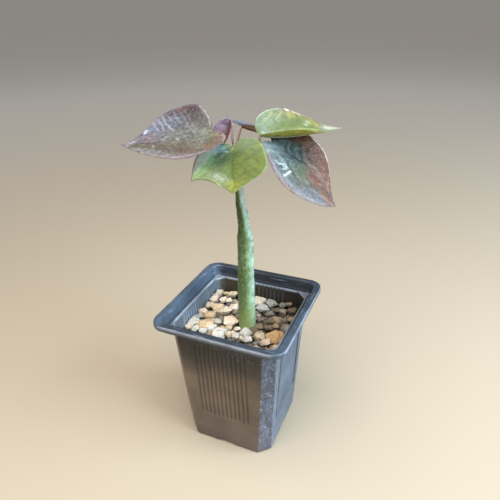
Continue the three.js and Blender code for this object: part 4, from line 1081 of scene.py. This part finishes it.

# %% [markdown]
# Streaks, single dark veins, pale gleams and the dry nick are too sharp for soft patches. They are
# drawn as brush strokes: a width in millimetres, a strength, a colour and a line through places on
# the leaf. A place says in per cent how far it lies across from the midrib, with the left half
# below zero, and how far up from the base. A point takes up more paint the nearer the line is.
# The lines were picked on the photo, and a program turned most of them into these places.

# %% Leaf marks
MARKS = {
    "leaf_left": [
        (0.4, 0.42, (188, 190, 204), [(95, 68), (70, 66), (40, 60)]),
        (0.5, 0.38, (186, 188, 202), [(86, 62), (61, 58), (36, 55)]),
        (0.45, 0.45, (190, 192, 204), [(91, 58), (60, 54), (28, 46)]),
        (0.38, 0.36, (176, 178, 190), [(84, 53), (60, 48)]),
        (0.5, 0.35, (170, 172, 180), [(89, 48), (68, 45), (50, 40)]),
        (0.4, 0.28, (160, 160, 162), [(89, 44), (68, 39), (41, 32)]),
        (0.45, 0.25, (158, 158, 150), [(86, 39), (65, 34), (45, 29), (18, 22)]),
        (0.45, 0.28, (164, 166, 160), [(41, 34), (22, 26), (-27, 25), (-72, 35)]),
        (0.51, 0.3, (166, 170, 160), [(16, 10), (-33, 22), (-57, 33)]),
        (0.45, 0.23, (160, 162, 152), [(22, 37), (-5, 31), (-42, 38)]),
        (0.42, 0.6, (92, 98, 114), [(82, 64), (50, 60)]),
        (0.5, 0.62, (88, 94, 110), [(86, 60), (60, 56), (38, 52)]),
        (0.4, 0.6, (88, 92, 104), [(78, 55), (55, 50), (33, 46)]),
        (0.45, 0.63, (92, 92, 102), [(87, 51), (65, 47), (44, 42)]),
        (0.45, 0.5, (92, 84, 92), [(80, 46), (60, 41)]),
        (0.54, 0.54, (92, 78, 80), [(87, 42), (70, 38), (51, 32)]),
        (0.6, 0.63, (74, 78, 66), [(59, 27), (49, 23), (36, 17)]),
        (0.35, 0.7, (78, 82, 78), [(16, 27), (7, 23), (-10, 21)]),
        (0.3, 0.6, (84, 86, 80), [(-24, 26), (-46, 30), (-65, 34)]),
        (0.3, 0.8, (72, 78, 76), [(34, 38), (32, 36), (25, 34), (24, 37)]),
        (0.3, 0.5, (92, 92, 84), [(21, 42), (6, 37), (1, 32)]),
        (0.5, 0.75, (206, 204, 184), [(-4, 40), (-7, 40)]),
        (0.3, 0.6, (196, 192, 182), [(-22, 68), (-30, 68)]),
        (0.3, 0.5, (190, 184, 172), [(-1, 55), (-4, 53)]),
        (0.3, 0.5, (186, 180, 166), [(-16, 48), (-13, 46)]),
        (0.55, 0.8, (206, 208, 226), [(68, 77), (76, 75)]),
        (0.35, 0.7, (196, 190, 200), [(-1, 89), (21, 88), (24, 86)]),
        (0.3, 0.8, (120, 84, 70), [(-39, 90), (-30, 88), (-16, 87)]),
        (0.8, 0.75, (98, 88, 66), [(-25, 83), (-38, 77)]),
        (0.3, 0.6, (204, 188, 176), [(-92, 88), (-62, 81)]),
        (0.45, 0.55, (184, 166, 170), [(-91, 82), (-87, 73), (-91, 63), (-91, 54), (-90, 45), (-93, 37)]),
        (0.3, 0.55, (196, 190, 180), [(97, 27), (95, 21), (90, 13), (70, 7)]),
        (0.35, 0.5, (130, 104, 114), [(92, 72), (89, 60), (92, 49), (96, 42), (96, 33)]),
        (0.8, 0.5, (112, 74, 84), [(82, 45), (87, 41), (87, 37)]),
        (1, 0.5, (120, 76, 62), [(-41, 47), (-61, 45), (-64, 42)]),
        (0.7, 0.5, (122, 80, 66), [(-28, 65), (-40, 62)]),
        (0.8, 0.4, (146, 106, 108), [(41, 78), (22, 70)]),
        (1, 0.45, (166, 116, 100), [(-69, 33), (-89, 33), (-87, 28)]),
        (1, 0.5, (164, 158, 112), [(-41, 17), (-57, 15), (-67, 12)]),
        (0.5, 0.6, (190, 160, 158), [(-90, 12), (-96, 17), (-97, 23)])],
    "leaf_front": [
        (0.2, 0.6, (62, 76, 30), [(-6, 7), (-1, 29), (0, 50), (0, 67)]),
        (0.3, 0.5, (186, 190, 110), [(1, 71), (0, 85)]),
        (0.28, 0.35, (70, 88, 30), [(-11, 15), (-24, 34), (-39, 47)]),
        (0.25, 0.35, (74, 92, 34), [(-63, 32), (-68, 43), (-73, 53)]),
        (0.25, 0.3, (74, 92, 34), [(-2, 40), (-23, 58), (-50, 67)]),
        (0.3, 0.35, (72, 92, 40), [(4, 33), (17, 43), (34, 51)]),
        (0.3, 0.3, (190, 200, 160), [(-96, 13), (-97, 18), (-97, 24)]),
        (0.3, 0.3, (190, 198, 150), [(-97, 28), (-95, 36), (-96, 45), (-97, 53), (-97, 63)]),
        # Partly painted shadow: this teal stroke tints the part of the right half that lies in the left
        # leaf's shadow.
        (0.5, 0.55, (150, 190, 190), [(63, 20), (45, 21), (22, 17)]),
        (0.5, 0.25, (206, 226, 206), [(52, 67), (55, 72)]),
        (0.6, 0.3, (214, 228, 206), [(41, 65), (38, 69), (33, 73)]),
        (0.4, 0.25, (204, 214, 180), [(22, 61), (18, 68), (17, 77)]),
        (0.3, 0.45, (184, 200, 150), [(87, 43), (64, 49), (49, 53)]),
        (0.5, 0.5, (196, 224, 196), [(95, 26), (96, 36), (93, 46)]),
        (0.35, 0.5, (200, 206, 160), [(93, 49), (86, 63), (75, 69), (74, 77), (95, 88)])],
    "leaf_right_upper": [
        (0.55, 0.95, (236, 222, 206), [(-96, 47), (-93, 49)]),
        (0.22, 0.9, (70, 48, 34), [(-97, 45), (-90, 45), (-86, 47), (-90, 50)]),
        (0.35, 0.75, (214, 190, 168), [(-92, 53), (-92, 57), (-93, 60)]),
        (1.1, 0.55, (176, 158, 88), [(-80, 48), (-76, 52)]),
        (0.6, 0.5, (176, 168, 92), [(-85, 47), (-64, 46)]),
        (0.3, 0.55, (176, 150, 96), [(-96, 63), (-89, 69), (-70, 75)]),
        (0.8, 0.45, (188, 210, 184), [(-64, 63), (-58, 64)]),
        (0.8, 0.5, (174, 166, 78), [(-70, 67), (-61, 70), (-47, 73)]),
        (0.4, 0.5, (206, 212, 180), [(-44, 58), (-40, 60)]),
        (0.5, 0.4, (190, 204, 152), [(-63, 33), (-72, 38), (-85, 42)]),
        (0.6, 0.35, (186, 202, 160), [(-74, 20), (-76, 28), (-89, 34)]),
        (0.5, 0.35, (100, 128, 62), [(-53, 38), (-46, 41), (-41, 44)]),
        (0.5, 0.35, (104, 130, 62), [(-61, 47), (-51, 51), (-35, 52)]),
        (0.4, 0.3, (118, 142, 84), [(-51, 26), (-40, 28), (-32, 30)]),
        (0.35, 0.5, (190, 200, 118), [(-24, 50), (-22, 62), (-17, 69)]),
        (0.9, 0.6, (204, 200, 188), [(-44, 80), (-40, 86), (-10, 92)]),
        (0.3, 0.6, (162, 140, 92), [(-68, 82), (-69, 88)]),
        (0.35, 0.6, (226, 222, 200), [(57, 94), (97, 98)]),
        (0.3, 0.6, (150, 132, 90), [(97, 94), (57, 97)]),
        (0.3, 0.5, (208, 220, 204), [(-97, 18), (-97, 25), (-97, 32), (-97, 40)])],
    "leaf_right_lower": [
        (0.42, 0.95, (14, 22, 22), [(22, 22), (17, 28), (10, 34), (0, 40), (-5, 45)]),
        (0.24, 0.6, (140, 152, 152), [(18, 18), (13, 25), (6, 30), (-2, 37)]),
        (0.28, 0.45, (160, 150, 132), [(-11, 47), (-18, 55), (-21, 62), (-21, 68)]),
        (0.4, 0.85, (20, 32, 32), [(49, 22), (49, 28), (49, 34), (56, 40), (63, 46)]),
        (0.24, 0.55, (182, 192, 196), [(62, 26), (61, 31), (61, 36), (64, 41)]),
        (0.26, 0.6, (62, 72, 58), [(64, 47), (67, 52), (64, 57), (61, 63)]),
        (0.28, 0.5, (158, 162, 140), [(56, 47), (56, 53), (50, 58)]),
        (0.36, 0.8, (10, 18, 20), [(-38, 21), (-8, 17), (17, 25)]),
        (0.25, 0.45, (136, 150, 150), [(-42, 24), (-16, 21), (1, 23)]),
        (0.36, 0.8, (10, 18, 20), [(-45, 27), (-19, 25), (-1, 28)]),
        (0.22, 0.45, (128, 142, 140), [(-50, 31), (-25, 30), (-6, 33)]),
        (0.36, 0.8, (10, 16, 16), [(-52, 35), (-30, 35), (-13, 38)]),
        (0.22, 0.4, (118, 126, 122), [(-56, 38), (-36, 39), (-19, 43)]),
        (0.36, 0.75, (12, 14, 12), [(-58, 42), (-40, 43), (-27, 47)]),
        (0.22, 0.4, (120, 112, 100), [(-61, 46), (-44, 48), (-33, 51)]),
        (0.25, 0.4, (104, 106, 88), [(-63, 34), (-64, 40), (-61, 47)]),
        (0.3, 0.6, (42, 54, 54), [(-10, 7), (21, 14), (24, 18)]),
        # Painted highlights: of the next seven strokes, the four pale ones paint the window's gleam on the
        # bulges, and the dark ones between them are the leaf's own.
        (0.3, 0.7, (226, 238, 244), [(78, 32), (78, 35), (70, 35), (69, 36), (61, 37)]),
        (0.3, 0.7, (40, 58, 58), [(84, 34), (79, 36), (68, 39)]),
        (0.3, 0.7, (214, 226, 226), [(69, 38), (63, 39), (69, 40), (75, 39)]),
        (0.3, 0.65, (46, 60, 56), [(85, 40), (72, 41), (59, 42)]),
        (0.4, 0.8, (240, 246, 250), [(84, 43), (75, 43), (73, 43), (63, 43)]),
        (0.3, 0.6, (60, 76, 70), [(85, 45), (78, 48), (82, 50)]),
        (0.35, 0.35, (190, 194, 202), [(84, 45), (87, 48), (90, 51)]),
        (0.32, 0.5, (60, 76, 66), [(73, 48), (75, 52), (78, 56)]),
        (0.3, 0.5, (96, 100, 84), [(38, 47), (25, 51), (29, 57)]),
        (0.6, 0.5, (150, 100, 78), [(35, 52), (29, 58), (29, 64)]),
        (0.45, 0.5, (196, 150, 130), [(19, 67), (8, 72)]),
        (0.3, 0.5, (92, 100, 100), [(82, 57), (85, 61), (82, 67)]),
        (0.3, 0.45, (96, 100, 104), [(70, 60), (72, 66), (73, 73)]),
        (0.4, 0.22, (200, 206, 214), [(89, 55), (91, 62), (91, 68)]),
        (0.35, 0.3, (190, 196, 204), [(62, 61), (61, 68), (61, 78)]),
        (0.28, 0.9, (236, 212, 200), [(-97, 44), (-97, 48), (-97, 54), (-97, 59), (-97, 65)]),
        (0.28, 0.7, (214, 184, 170), [(-97, 65), (-97, 70), (-96, 77)]),
        (0.4, 0.55, (170, 92, 70), [(-62, 77), (-33, 79), (-7, 83)]),
        (0.34, 0.45, (200, 176, 176), [(92, 23), (92, 30), (93, 37), (93, 43)]),
        (0.34, 0.5, (180, 140, 124), [(93, 43), (96, 48), (96, 53)]),
        (0.34, 0.35, (190, 176, 176), [(96, 53), (95, 60), (95, 69), (92, 82)]),
        (0.8, 0.5, (186, 140, 122), [(55, 74), (64, 84), (76, 94)])],
    "young_leaf_left": [
        (0.4, 0.6, (104, 74, 92), [(-15, 20), (-47, 22), (-75, 26)]),
        (0.3, 0.5, (190, 164, 182), [(-30, 30), (-60, 33), (-90, 38)]),
        (0.25, 0.45, (134, 100, 120), [(-20, 43), (-60, 50), (-90, 52)]),
        (0.25, 0.4, (186, 158, 174), [(-30, 54), (-60, 60), (-85, 60)]),
        (0.5, 0.8, (160, 68, 38), [(0, 36), (2, 55), (2, 75), (0, 88)]),
        (0.3, 0.8, (88, 46, 54), [(-6, 24), (-16, 32), (-19, 45), (-16, 60)])],
    "young_leaf_right": [
        (0.5, 0.3, (150, 152, 160), [(-91, 27), (-84, 37), (-75, 44)]),
        (0.25, 0.5, (92, 88, 92), [(-73, 21), (-59, 33), (-72, 49)])],
}


def marked(name, t, s, paint, points):
    """The paint with the leaf's own strokes laid over it one after the other."""
    leaf = LEAVES[name]

    def flat(t, s):
        out, along = flat_blade(leaf, t, s)
        return np.stack([np.where(s >= 0, out, -out), along], -1)

    here = flat(t, s)
    rough = 1 + 0.22 * ripple(points, 0.9, 33)
    for width, strength, colour, places in MARKS[name]:
        across, up = np.array(places).T / 100
        line = flat(up, across)
        gaps = []
        for start, end in zip(line[:-1], line[1:]):
            way = end - start
            share = np.clip((here - start) @ way / max(way @ way, 1e-9), 0, 1)
            gaps.append(np.linalg.norm(here - start - share[..., None] * way, axis=-1))
        cover = strength * np.exp(-(np.min(gaps, 0) * rough / width) ** 2)
        paint = paint + (linear(*colour) - paint) * cover[..., None]
    return paint


print("strokes", {name: len(strokes) for name, strokes in MARKS.items()})

# %% [markdown]
# Each leaf has colours of its own: mauve and olive, yellow-green, mint or slate with copper. The
# paint is mixed as a painter would, a ground for each half first, then broad soft patches, the
# veins and the margin. Every patch says in per cent where it lies on the leaf and how far it
# spreads across and up. A picture could be wrapped over the leaf, but patches bend with it. A
# program fitted most of the patches and colours to the photo, and some were changed one by one.

# %% Leaf paint
PAINT = {
    "leaf_left": dict(
        grain=0.22, vein_share=0.1,
        ground=((105, 96, 81), (88, 83, 92)), under=(140, 112, 110), vein=(123, 119, 118),
        margin=(134, 112, 124), patches=[
            (41, 12, 57, 20, (87, 84, 73)), (70, 36, 26, 14, (62, 42, 42)),
            (60, 55, 30, 12, (70, 72, 84)), (90, 44, 22, 13, (58, 34, 40)),
            (54, 47, 19, 9, (95, 100, 112)), (77, 70, 44, 10, (98, 101, 121)),
            (20, 79, 16, 20, (128, 132, 147)), (-89, 10, 31, 17, (133, 109, 95)),
            (-58, 36, 21, 5, (124, 114, 100)), (-88, 55, 13, 14, (144, 131, 138)),
            (16, 73, 24, 13, (100, 76, 85)), (-11, 14, 41, 9, (116, 118, 103)),
            (-3, 96, 90, 5, (148, 136, 148)), (-66, 75, 21, 13, (132, 127, 130)),
            (-26, 27, 21, 6, (123, 125, 114)), (6, 40, 26, 16, (107, 106, 99))]),
    "leaf_front": dict(
        grain=0.09, vein_share=0.4,
        # Painted light: gains that brighten the lobe where it faces away from the lamps
        painted_light_gains=[(85, 32, 30, 16, (1.55, 1.85, 1.95)), (45, 16, 40, 9, (1.3, 1.12, 1.32))],
        ground=((106, 115, 50), (113, 132, 86)), under=(140, 156, 96), vein=(83, 101, 46),
        margin=(140, 150, 116), patches=[
            # Painted light and shade: the pale patches from 66 to 91 across and 19 to 39 up paint light where
            # the lobe faces away from the lamps, and the dark teal patch at 43 across is partly the left
            # leaf's shadow, painted.
            (24, 26, 60, 15, (48, 80, 23)), (46, 70, 22, 12, (159, 173, 143)),
            (-4, 96, 62, 17, (153, 155, 51)), (-4, 46, 23, 18, (100, 118, 39)),
            (-75, 12, 40, 18, (125, 138, 99)), (91, 39, 45, 18, (186, 218, 143)),
            (43, 31, 33, 18, (39, 63, 50)), (67, 19, 22, 8, (190, 234, 216)),
            (66, 33, 18, 5, (185, 249, 184)), (84, 36, 17, 8, (176, 236, 172)),
            (69, 28, 13, 8, (229, 249, 218)), (90, 35, 18, 8, (249, 249, 249))]),
    "leaf_right_upper": dict(
        grain=0.09, vein_share=0.25,
        ground=((108, 116, 65), (127, 136, 91)), under=(190, 186, 66), vein=(137, 143, 98),
        margin=(130, 153, 132), patches=[
            (-56, 25, 62, 11, (131, 147, 118)), (-66, 71, 15, 8, (122, 122, 68)),
            (-20, 86, 78, 7, (163, 165, 155)), (-18, 39, 13, 25, (138, 150, 88)),
            (-95, 45, 7, 8, (159, 144, 134)), (-37, 42, 13, 21, (100, 117, 60)),
            (-24, 7, 26, 6, (167, 194, 189)), (-41, 82, 12, 8, (148, 153, 128)),
            (-80, 37, 16, 10, (127, 136, 97)), (-67, 14, 38, 5, (133, 150, 127))]),
    "leaf_right_lower": dict(
        grain=0.2, vein_share=0.15,
        ground=((57, 45, 37), (98, 99, 92)), under=(136, 116, 108), vein=(71, 69, 58),
        margin=(138, 112, 110), patches=[
            (-26, 23, 42, 18, (66, 82, 79)), (16, 34, 28, 7, (59, 76, 81)),
            (59, 35, 24, 10, (106, 122, 126)), (88, 58, 7, 25, (122, 123, 131)),
            (-69, 45, 34, 6, (70, 50, 40)), (-82, 37, 21, 9, (98, 76, 54)),
            (-10, 52, 12, 8, (74, 85, 68)), (52, 83, 58, 10, (128, 88, 78)),
            (5, 96, 90, 4, (122, 100, 107)), (70, 5, 56, 15, (172, 192, 200)),
            (-39, 19, 10, 8, (107, 118, 111)), (-8, 3, 31, 11, (126, 152, 157)),
            (-56, 68, 80, 16, (118, 76, 52)), (-80, 50, 34, 24, (104, 58, 36)),
            (10, 60, 26, 10, (124, 84, 70)), (35, 47, 20, 7, (94, 104, 82)),
            (81, 70, 17, 13, (120, 121, 127))]),
    "young_leaf_left": dict(
        grain=0.1, vein_share=0.3,
        ground=((160, 132, 144), (158, 128, 142)), under=(160, 128, 144), vein=(172, 140, 148),
        margin=(176, 140, 146), patches=[
            # Painted light: the second patch brightens the right half, which lies in shade.
            (0, 10, 60, 15, (166, 140, 150)), (80, 20, 35, 25, (206, 184, 202))],
        below=[
            (-85, 12, 40, 14, (118, 96, 114)), (-45, 24, 40, 5, (122, 92, 112)),
            (2, 58, 17, 36, (152, 64, 38))]),
    "young_leaf_right": dict(
        grain=0.1, vein_share=0.3,
        ground=((94, 102, 116), (132, 113, 115)), under=(150, 92, 36), vein=(149, 140, 147),
        margin=(132, 113, 115), patches=[
            (0, 90, 90, 15, (132, 113, 115)), (-75, 43, 45, 15, (140, 145, 157)),
            (-57, 12, 13, 13, (82, 76, 93))]),
}
print("patches", {name: len(palette["patches"]) for name, palette in PAINT.items()})

# %% [markdown]
# A patch fades out from its middle like a bell, and a random field shakes its edge, so that no two
# edges look alike. The strokes come last, as the finest brush would.

# %% Leaf painting
# The listed colours are as bright as the lit leaf looks, so the paint itself is darker by this
LIT_SHARE = 1.9
PATCH_STRENGTH, MARGIN_STRENGTH = 0.9, 0.7


def bell(t, s, patch, shake=0):
    """Falls from 1 in a patch's middle to 0 well outside it. A shake makes its edge uneven."""
    at_s, at_t, reach_s, reach_t = np.array(patch) / 100
    far = ((s - at_s) / reach_s) ** 2 + ((t - at_t) / reach_t) ** 2
    return np.exp(-0.7 * (far[..., None] * (1 + 1.5 * shake)) ** 1.4)


def leaf_paint(name, t, s, face, vein, points):
    """Colour at each point. `face` is 1 on the upper side and 0 on the lower side."""
    palette = PAINT[name]
    shake = 0.12 * ripple(points, 5, 11)[..., None]
    coarse, fine = ripple(points, 2.3, 14), ripple(points, 1.1, 15, 24)
    grain = 1 + palette["grain"] * (0.6 * coarse + 0.6 * fine)[..., None]
    left, right = (linear(*colour) for colour in palette["ground"])
    under, vein_colour, margin = (linear(*palette[key]) for key in ("under", "vein", "margin"))
    ground = np.where(s[..., None] >= 0, right, left) * (1 + shake)
    under = under * (1 + shake)

    def patched(paint, patches):
        for *patch, colour in patches:
            paint = paint + (linear(*colour) - paint) * bell(t, s, patch, shake) * PATCH_STRENGTH
        return paint

    ground = patched(ground, palette["patches"])
    under = patched(under, palette.get("below", []))
    # Painted light: the gains brighten places that face away from the lamps
    for *patch, gain in palette.get("painted_light_gains", []):
        ground = ground * (1 + (np.array(gain) - 1) * bell(t, s, patch))
    ground = ground + (vein_colour - ground) * palette["vein_share"] * vein[..., None]
    rim = smoothstep(0.93, 0.995, np.abs(s))[..., None]
    ground = ground + (margin - ground) * rim * MARGIN_STRENGTH
    ground, under = (marked(name, t, s, side, points) for side in (ground * grain, under * grain))
    return (under + (ground - under) * face[..., None]) / LIT_SHARE


print("lit colours are divided by", LIT_SHARE)

# %% [markdown]
# A leaf is skinned as a stack of thin closed loops from base to tip: over the upper side from the
# left edge to the right one, and back along the lower side. Columns crowd towards the margin,
# where the blade thins out. A solidify modifier would leave a square rim there.

# %% Leaf blade
THICKNESS, PUFF, SLOPE_STEP = 0.46, 0.09, 0.004


def around(over, under):
    """Rows that go over the upper side and come back along the lower one."""
    return np.concatenate([over, under[:, -2:0:-1]], 1)


def blade_loops(name, leaf, rows, columns):
    """Loops of points round the blade, a point to close each end with, and the paint."""
    even = np.linspace(-1, 1, 2 * columns + 1)
    crowded = 0.6 * even + 0.4 * np.sin(np.pi / 2 * even)
    t, s = np.meshgrid((np.arange(rows) + 0.5) / rows, crowded, indexing="ij")
    step = SLOPE_STEP
    inner_t, inner_s = np.clip(t, 2 * step, 1 - 2 * step), np.clip(s, step - 1, 1 - step)
    run = blade(leaf, inner_t + step, inner_s) - blade(leaf, inner_t - step, inner_s)
    width = blade(leaf, inner_t, inner_s + step) - blade(leaf, inner_t, inner_s - step)
    normal = unit(np.cross(width, run))
    out, along = flat_blade(leaf, t, s)
    vein, puffed = vein_map(leaf, s, out, along)
    middle = bent_blade(leaf, s, out, along)
    calm = (1 - np.abs(s) ** 6) * smoothstep(0, 0.1, t) * fades(0.9, 1, t)
    crumple = 0.35 * ripple(middle, 3.5, 21) + leaf.get("crumple", 0) * ripple(middle, 2.2, 22, 24)
    relief = PUFF * leaf["length"] / TYPICAL_LENGTH * (puffed - 0.6 + crumple) * calm
    middle = middle + normal * relief[..., None]
    thick = THICKNESS / 2 * np.sqrt(1 - np.abs(s) ** 5) * np.sqrt(np.minimum(1, 20 * np.minimum(t, 1 - t)))
    loops = around(middle + normal * thick[..., None], middle - normal * thick[..., None])
    face = around(np.ones_like(s), np.zeros_like(s))
    paint = leaf_paint(name, around(t, t), around(s, s), face, around(vein, vein), loops)
    ends = [blade(leaf, np.array(end), np.array(0.0)) for end in (0.0, 1.0)]
    return loops, np.array(ends), paint


print("blade", THICKNESS, "mm thick")

# %% [markdown]
# The stalk leaves the stem, rises to the blade and runs on beneath it as the midrib. A curve
# object could be swept for it, but rings round a smooth path can be joined with the blade into
# one piece, as the leaf has grown.

# %% Leaf stalk
MIDRIB_DROP, STALK_SINK = 0.5, 0.5
MIDRIB_SHARES = np.array([0, 0.12, 0.3, 0.55])
STALK_COLOURS = {
    "leaf_left": ((146, 160, 116), (128, 122, 110)), "leaf_front": ((146, 164, 116), (156, 164, 110)),
    "leaf_right_upper": ((150, 166, 118), (150, 130, 96)),
    "leaf_right_lower": ((150, 164, 120), (120, 104, 92)),
    "young_leaf_left": ((80, 48, 40), (204, 166, 174)), "young_leaf_right": ((112, 72, 56), (176, 138, 110))}


def between(first, last, start, stop, now):
    """What lies between two points at a time between their own times, on a straight line."""
    return (first * (stop - now) + last * (now - start)) / (stop - start)


def smooth_path(knots, count):
    """A smooth path through all knots at even steps. Between two knots it blends the lines
    through their neighbours, timed by the square root of the distances, so it never overshoots."""
    knots = np.vstack([2 * knots[0] - knots[1], knots, 2 * knots[-1] - knots[-2]])
    times = np.append(0, np.cumsum(np.sqrt(np.linalg.norm(np.diff(knots, axis=0), axis=1))))
    pieces = []
    for k in range(1, len(knots) - 2):
        p, at = knots[k - 1:k + 3], times[k - 1:k + 3]
        now = np.linspace(at[1], at[2], 60)[:, None]
        lines = [between(p[i], p[i + 1], at[i], at[i + 1], now) for i in range(3)]
        bows = [between(lines[i], lines[i + 1], at[i], at[i + 2], now) for i in range(2)]
        pieces.append(between(*bows, at[1], at[2], now))
    return even_steps(np.vstack(pieces), count)


def stalk_loops(leaf, count=90, sides=14):
    """Rings along the stalk's path, a little flared where it leaves the stem and thinner under
    the blade, a point to close each end with, and how far along the stalk each ring is."""
    root_x, root_y, root_radius = stem_at(leaf["stalk_from"])
    root = np.array([root_x, root_y, leaf["stalk_from"]])
    way = unit(np.array(leaf["via"][0]) - root)
    start = root + way * max(root_radius / np.hypot(*way[:2]) - STALK_SINK, 0.2)
    flat_side, _, blade_up = leaf_frame(leaf)
    under = bent_blade(leaf, np.ones(4), np.zeros(4), MIDRIB_SHARES * leaf["length"]) - MIDRIB_DROP * blade_up
    path = smooth_path(np.vstack([start, leaf["via"], under]), count)
    tangent = unit(np.gradient(path, axis=0))
    normal = unit(flat_side - tangent * (tangent @ flat_side)[:, None])
    binormal = np.cross(tangent, normal)
    share = np.linspace(0, 1, count)
    blade_start = np.linalg.norm(path - under[0], axis=1).argmin() / (count - 1)
    radius = leaf["stalk_radius"] * np.interp(
        share, [0, 0.04, 0.12, 0.8 * blade_start, blade_start + 0.03, 1], [1.35, 1.15, 1.0, 0.92, 0.7, 0.25])
    turn = np.arange(sides) * 2 * np.pi / sides
    ring = normal[:, None] * np.cos(turn)[:, None] + binormal[:, None] * np.sin(turn)[:, None]
    return path[:, None] + ring * radius[:, None, None], np.array([path[0] - way * 0.1, path[-1]]), share


print("stalk radii", {name: leaf["stalk_radius"] for name, leaf in LEAVES.items()})

# %% [markdown]
# Leaf tissue is waxy: light sinks in a little, and a thin film gives cool highlights. The shader
# takes the paint from the mesh, breaks it up with cell-like mottling and adds a film on top.

# %% Leaf material
CELL_SCALE = 620.0
GLOSS = {
    "leaf_left": (0.5, 0.1), "leaf_front": (0.55, 0.05), "leaf_right_upper": (0.55, 0.05),
    "leaf_right_lower": (0.5, 0.05), "young_leaf_left": (0.5, 0.1), "young_leaf_right": (0.5, 0.15)}
LARGE_LEAF, LARGE_GRID, YOUNG_GRID = 30, (170, 54), (90, 30)


def leaf_material(name, roughness, coat):
    """A waxy leaf finish with the paint from the mesh, mottling, fine relief and a thin film."""
    material, tree, shader = new_material(name)
    cells = add(
        tree, "TexVoronoi", {"feature": "DISTANCE_TO_EDGE"}, Vector=object_place(tree), Scale=CELL_SCALE)
    mottle = noise(tree, 2.4, 5, 0.65)
    speck = noise(tree, 0.7, 4, 0.7)
    colour = attribute(tree, "paint", "Color")
    for share, tone in (
            (span(tree, mottle, 0.35, 0.65, 0.0, 0.6), (0.72, 0.74, 0.68)),
            (span(tree, speck, 0.5, 0.66, 0.0, 0.6), (1.16, 1.16, 1.14))):
        colour = mix(tree, share, colour, rgba(tone), "MULTIPLY")
    edges = span(tree, cells.outputs["Distance"], 0.0, 0.25)
    fill(
        tree, shader, Base_Color=colour, Specular_IOR_Level=0.34, Coat_Weight=coat, Coat_Roughness=0.25,
        Roughness=span(tree, mottle, 0.3, 0.7, roughness - 0.06, roughness + 0.1), Subsurface_Weight=0.1,
        Subsurface_Scale=0.001, Normal=bump(tree, edges, 0.05, bump(tree, mottle, 0.12)))
    return material


for name, leaf in LEAVES.items():
    grid = LARGE_GRID if leaf["length"] > LARGE_LEAF else YOUNG_GRID
    loops, ends, paint = blade_loops(name, leaf, *grid)
    tube, tube_ends, along = stalk_loops(leaf)
    points, faces = join([loft(loops, ends), loft(tube, tube_ends)])
    low, high = (linear(*colour) for colour in STALK_COLOURS[name])
    stalk_paint = (low + (high - low) * along[:, None]) / LIT_SHARE
    paint = np.vstack([
        paint.reshape(-1, 3), paint[0].mean(0), paint[-1].mean(0),
        np.repeat(stalk_paint, tube.shape[1], 0), stalk_paint[0], stalk_paint[-1]])
    piece = new_piece(name + "_blade", points, faces, paint=paint.clip(0, 0.95))
    piece.data.materials.append(leaf_material(name + " tissue", *GLOSS[name]))
    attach(piece, "root")
    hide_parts(name)
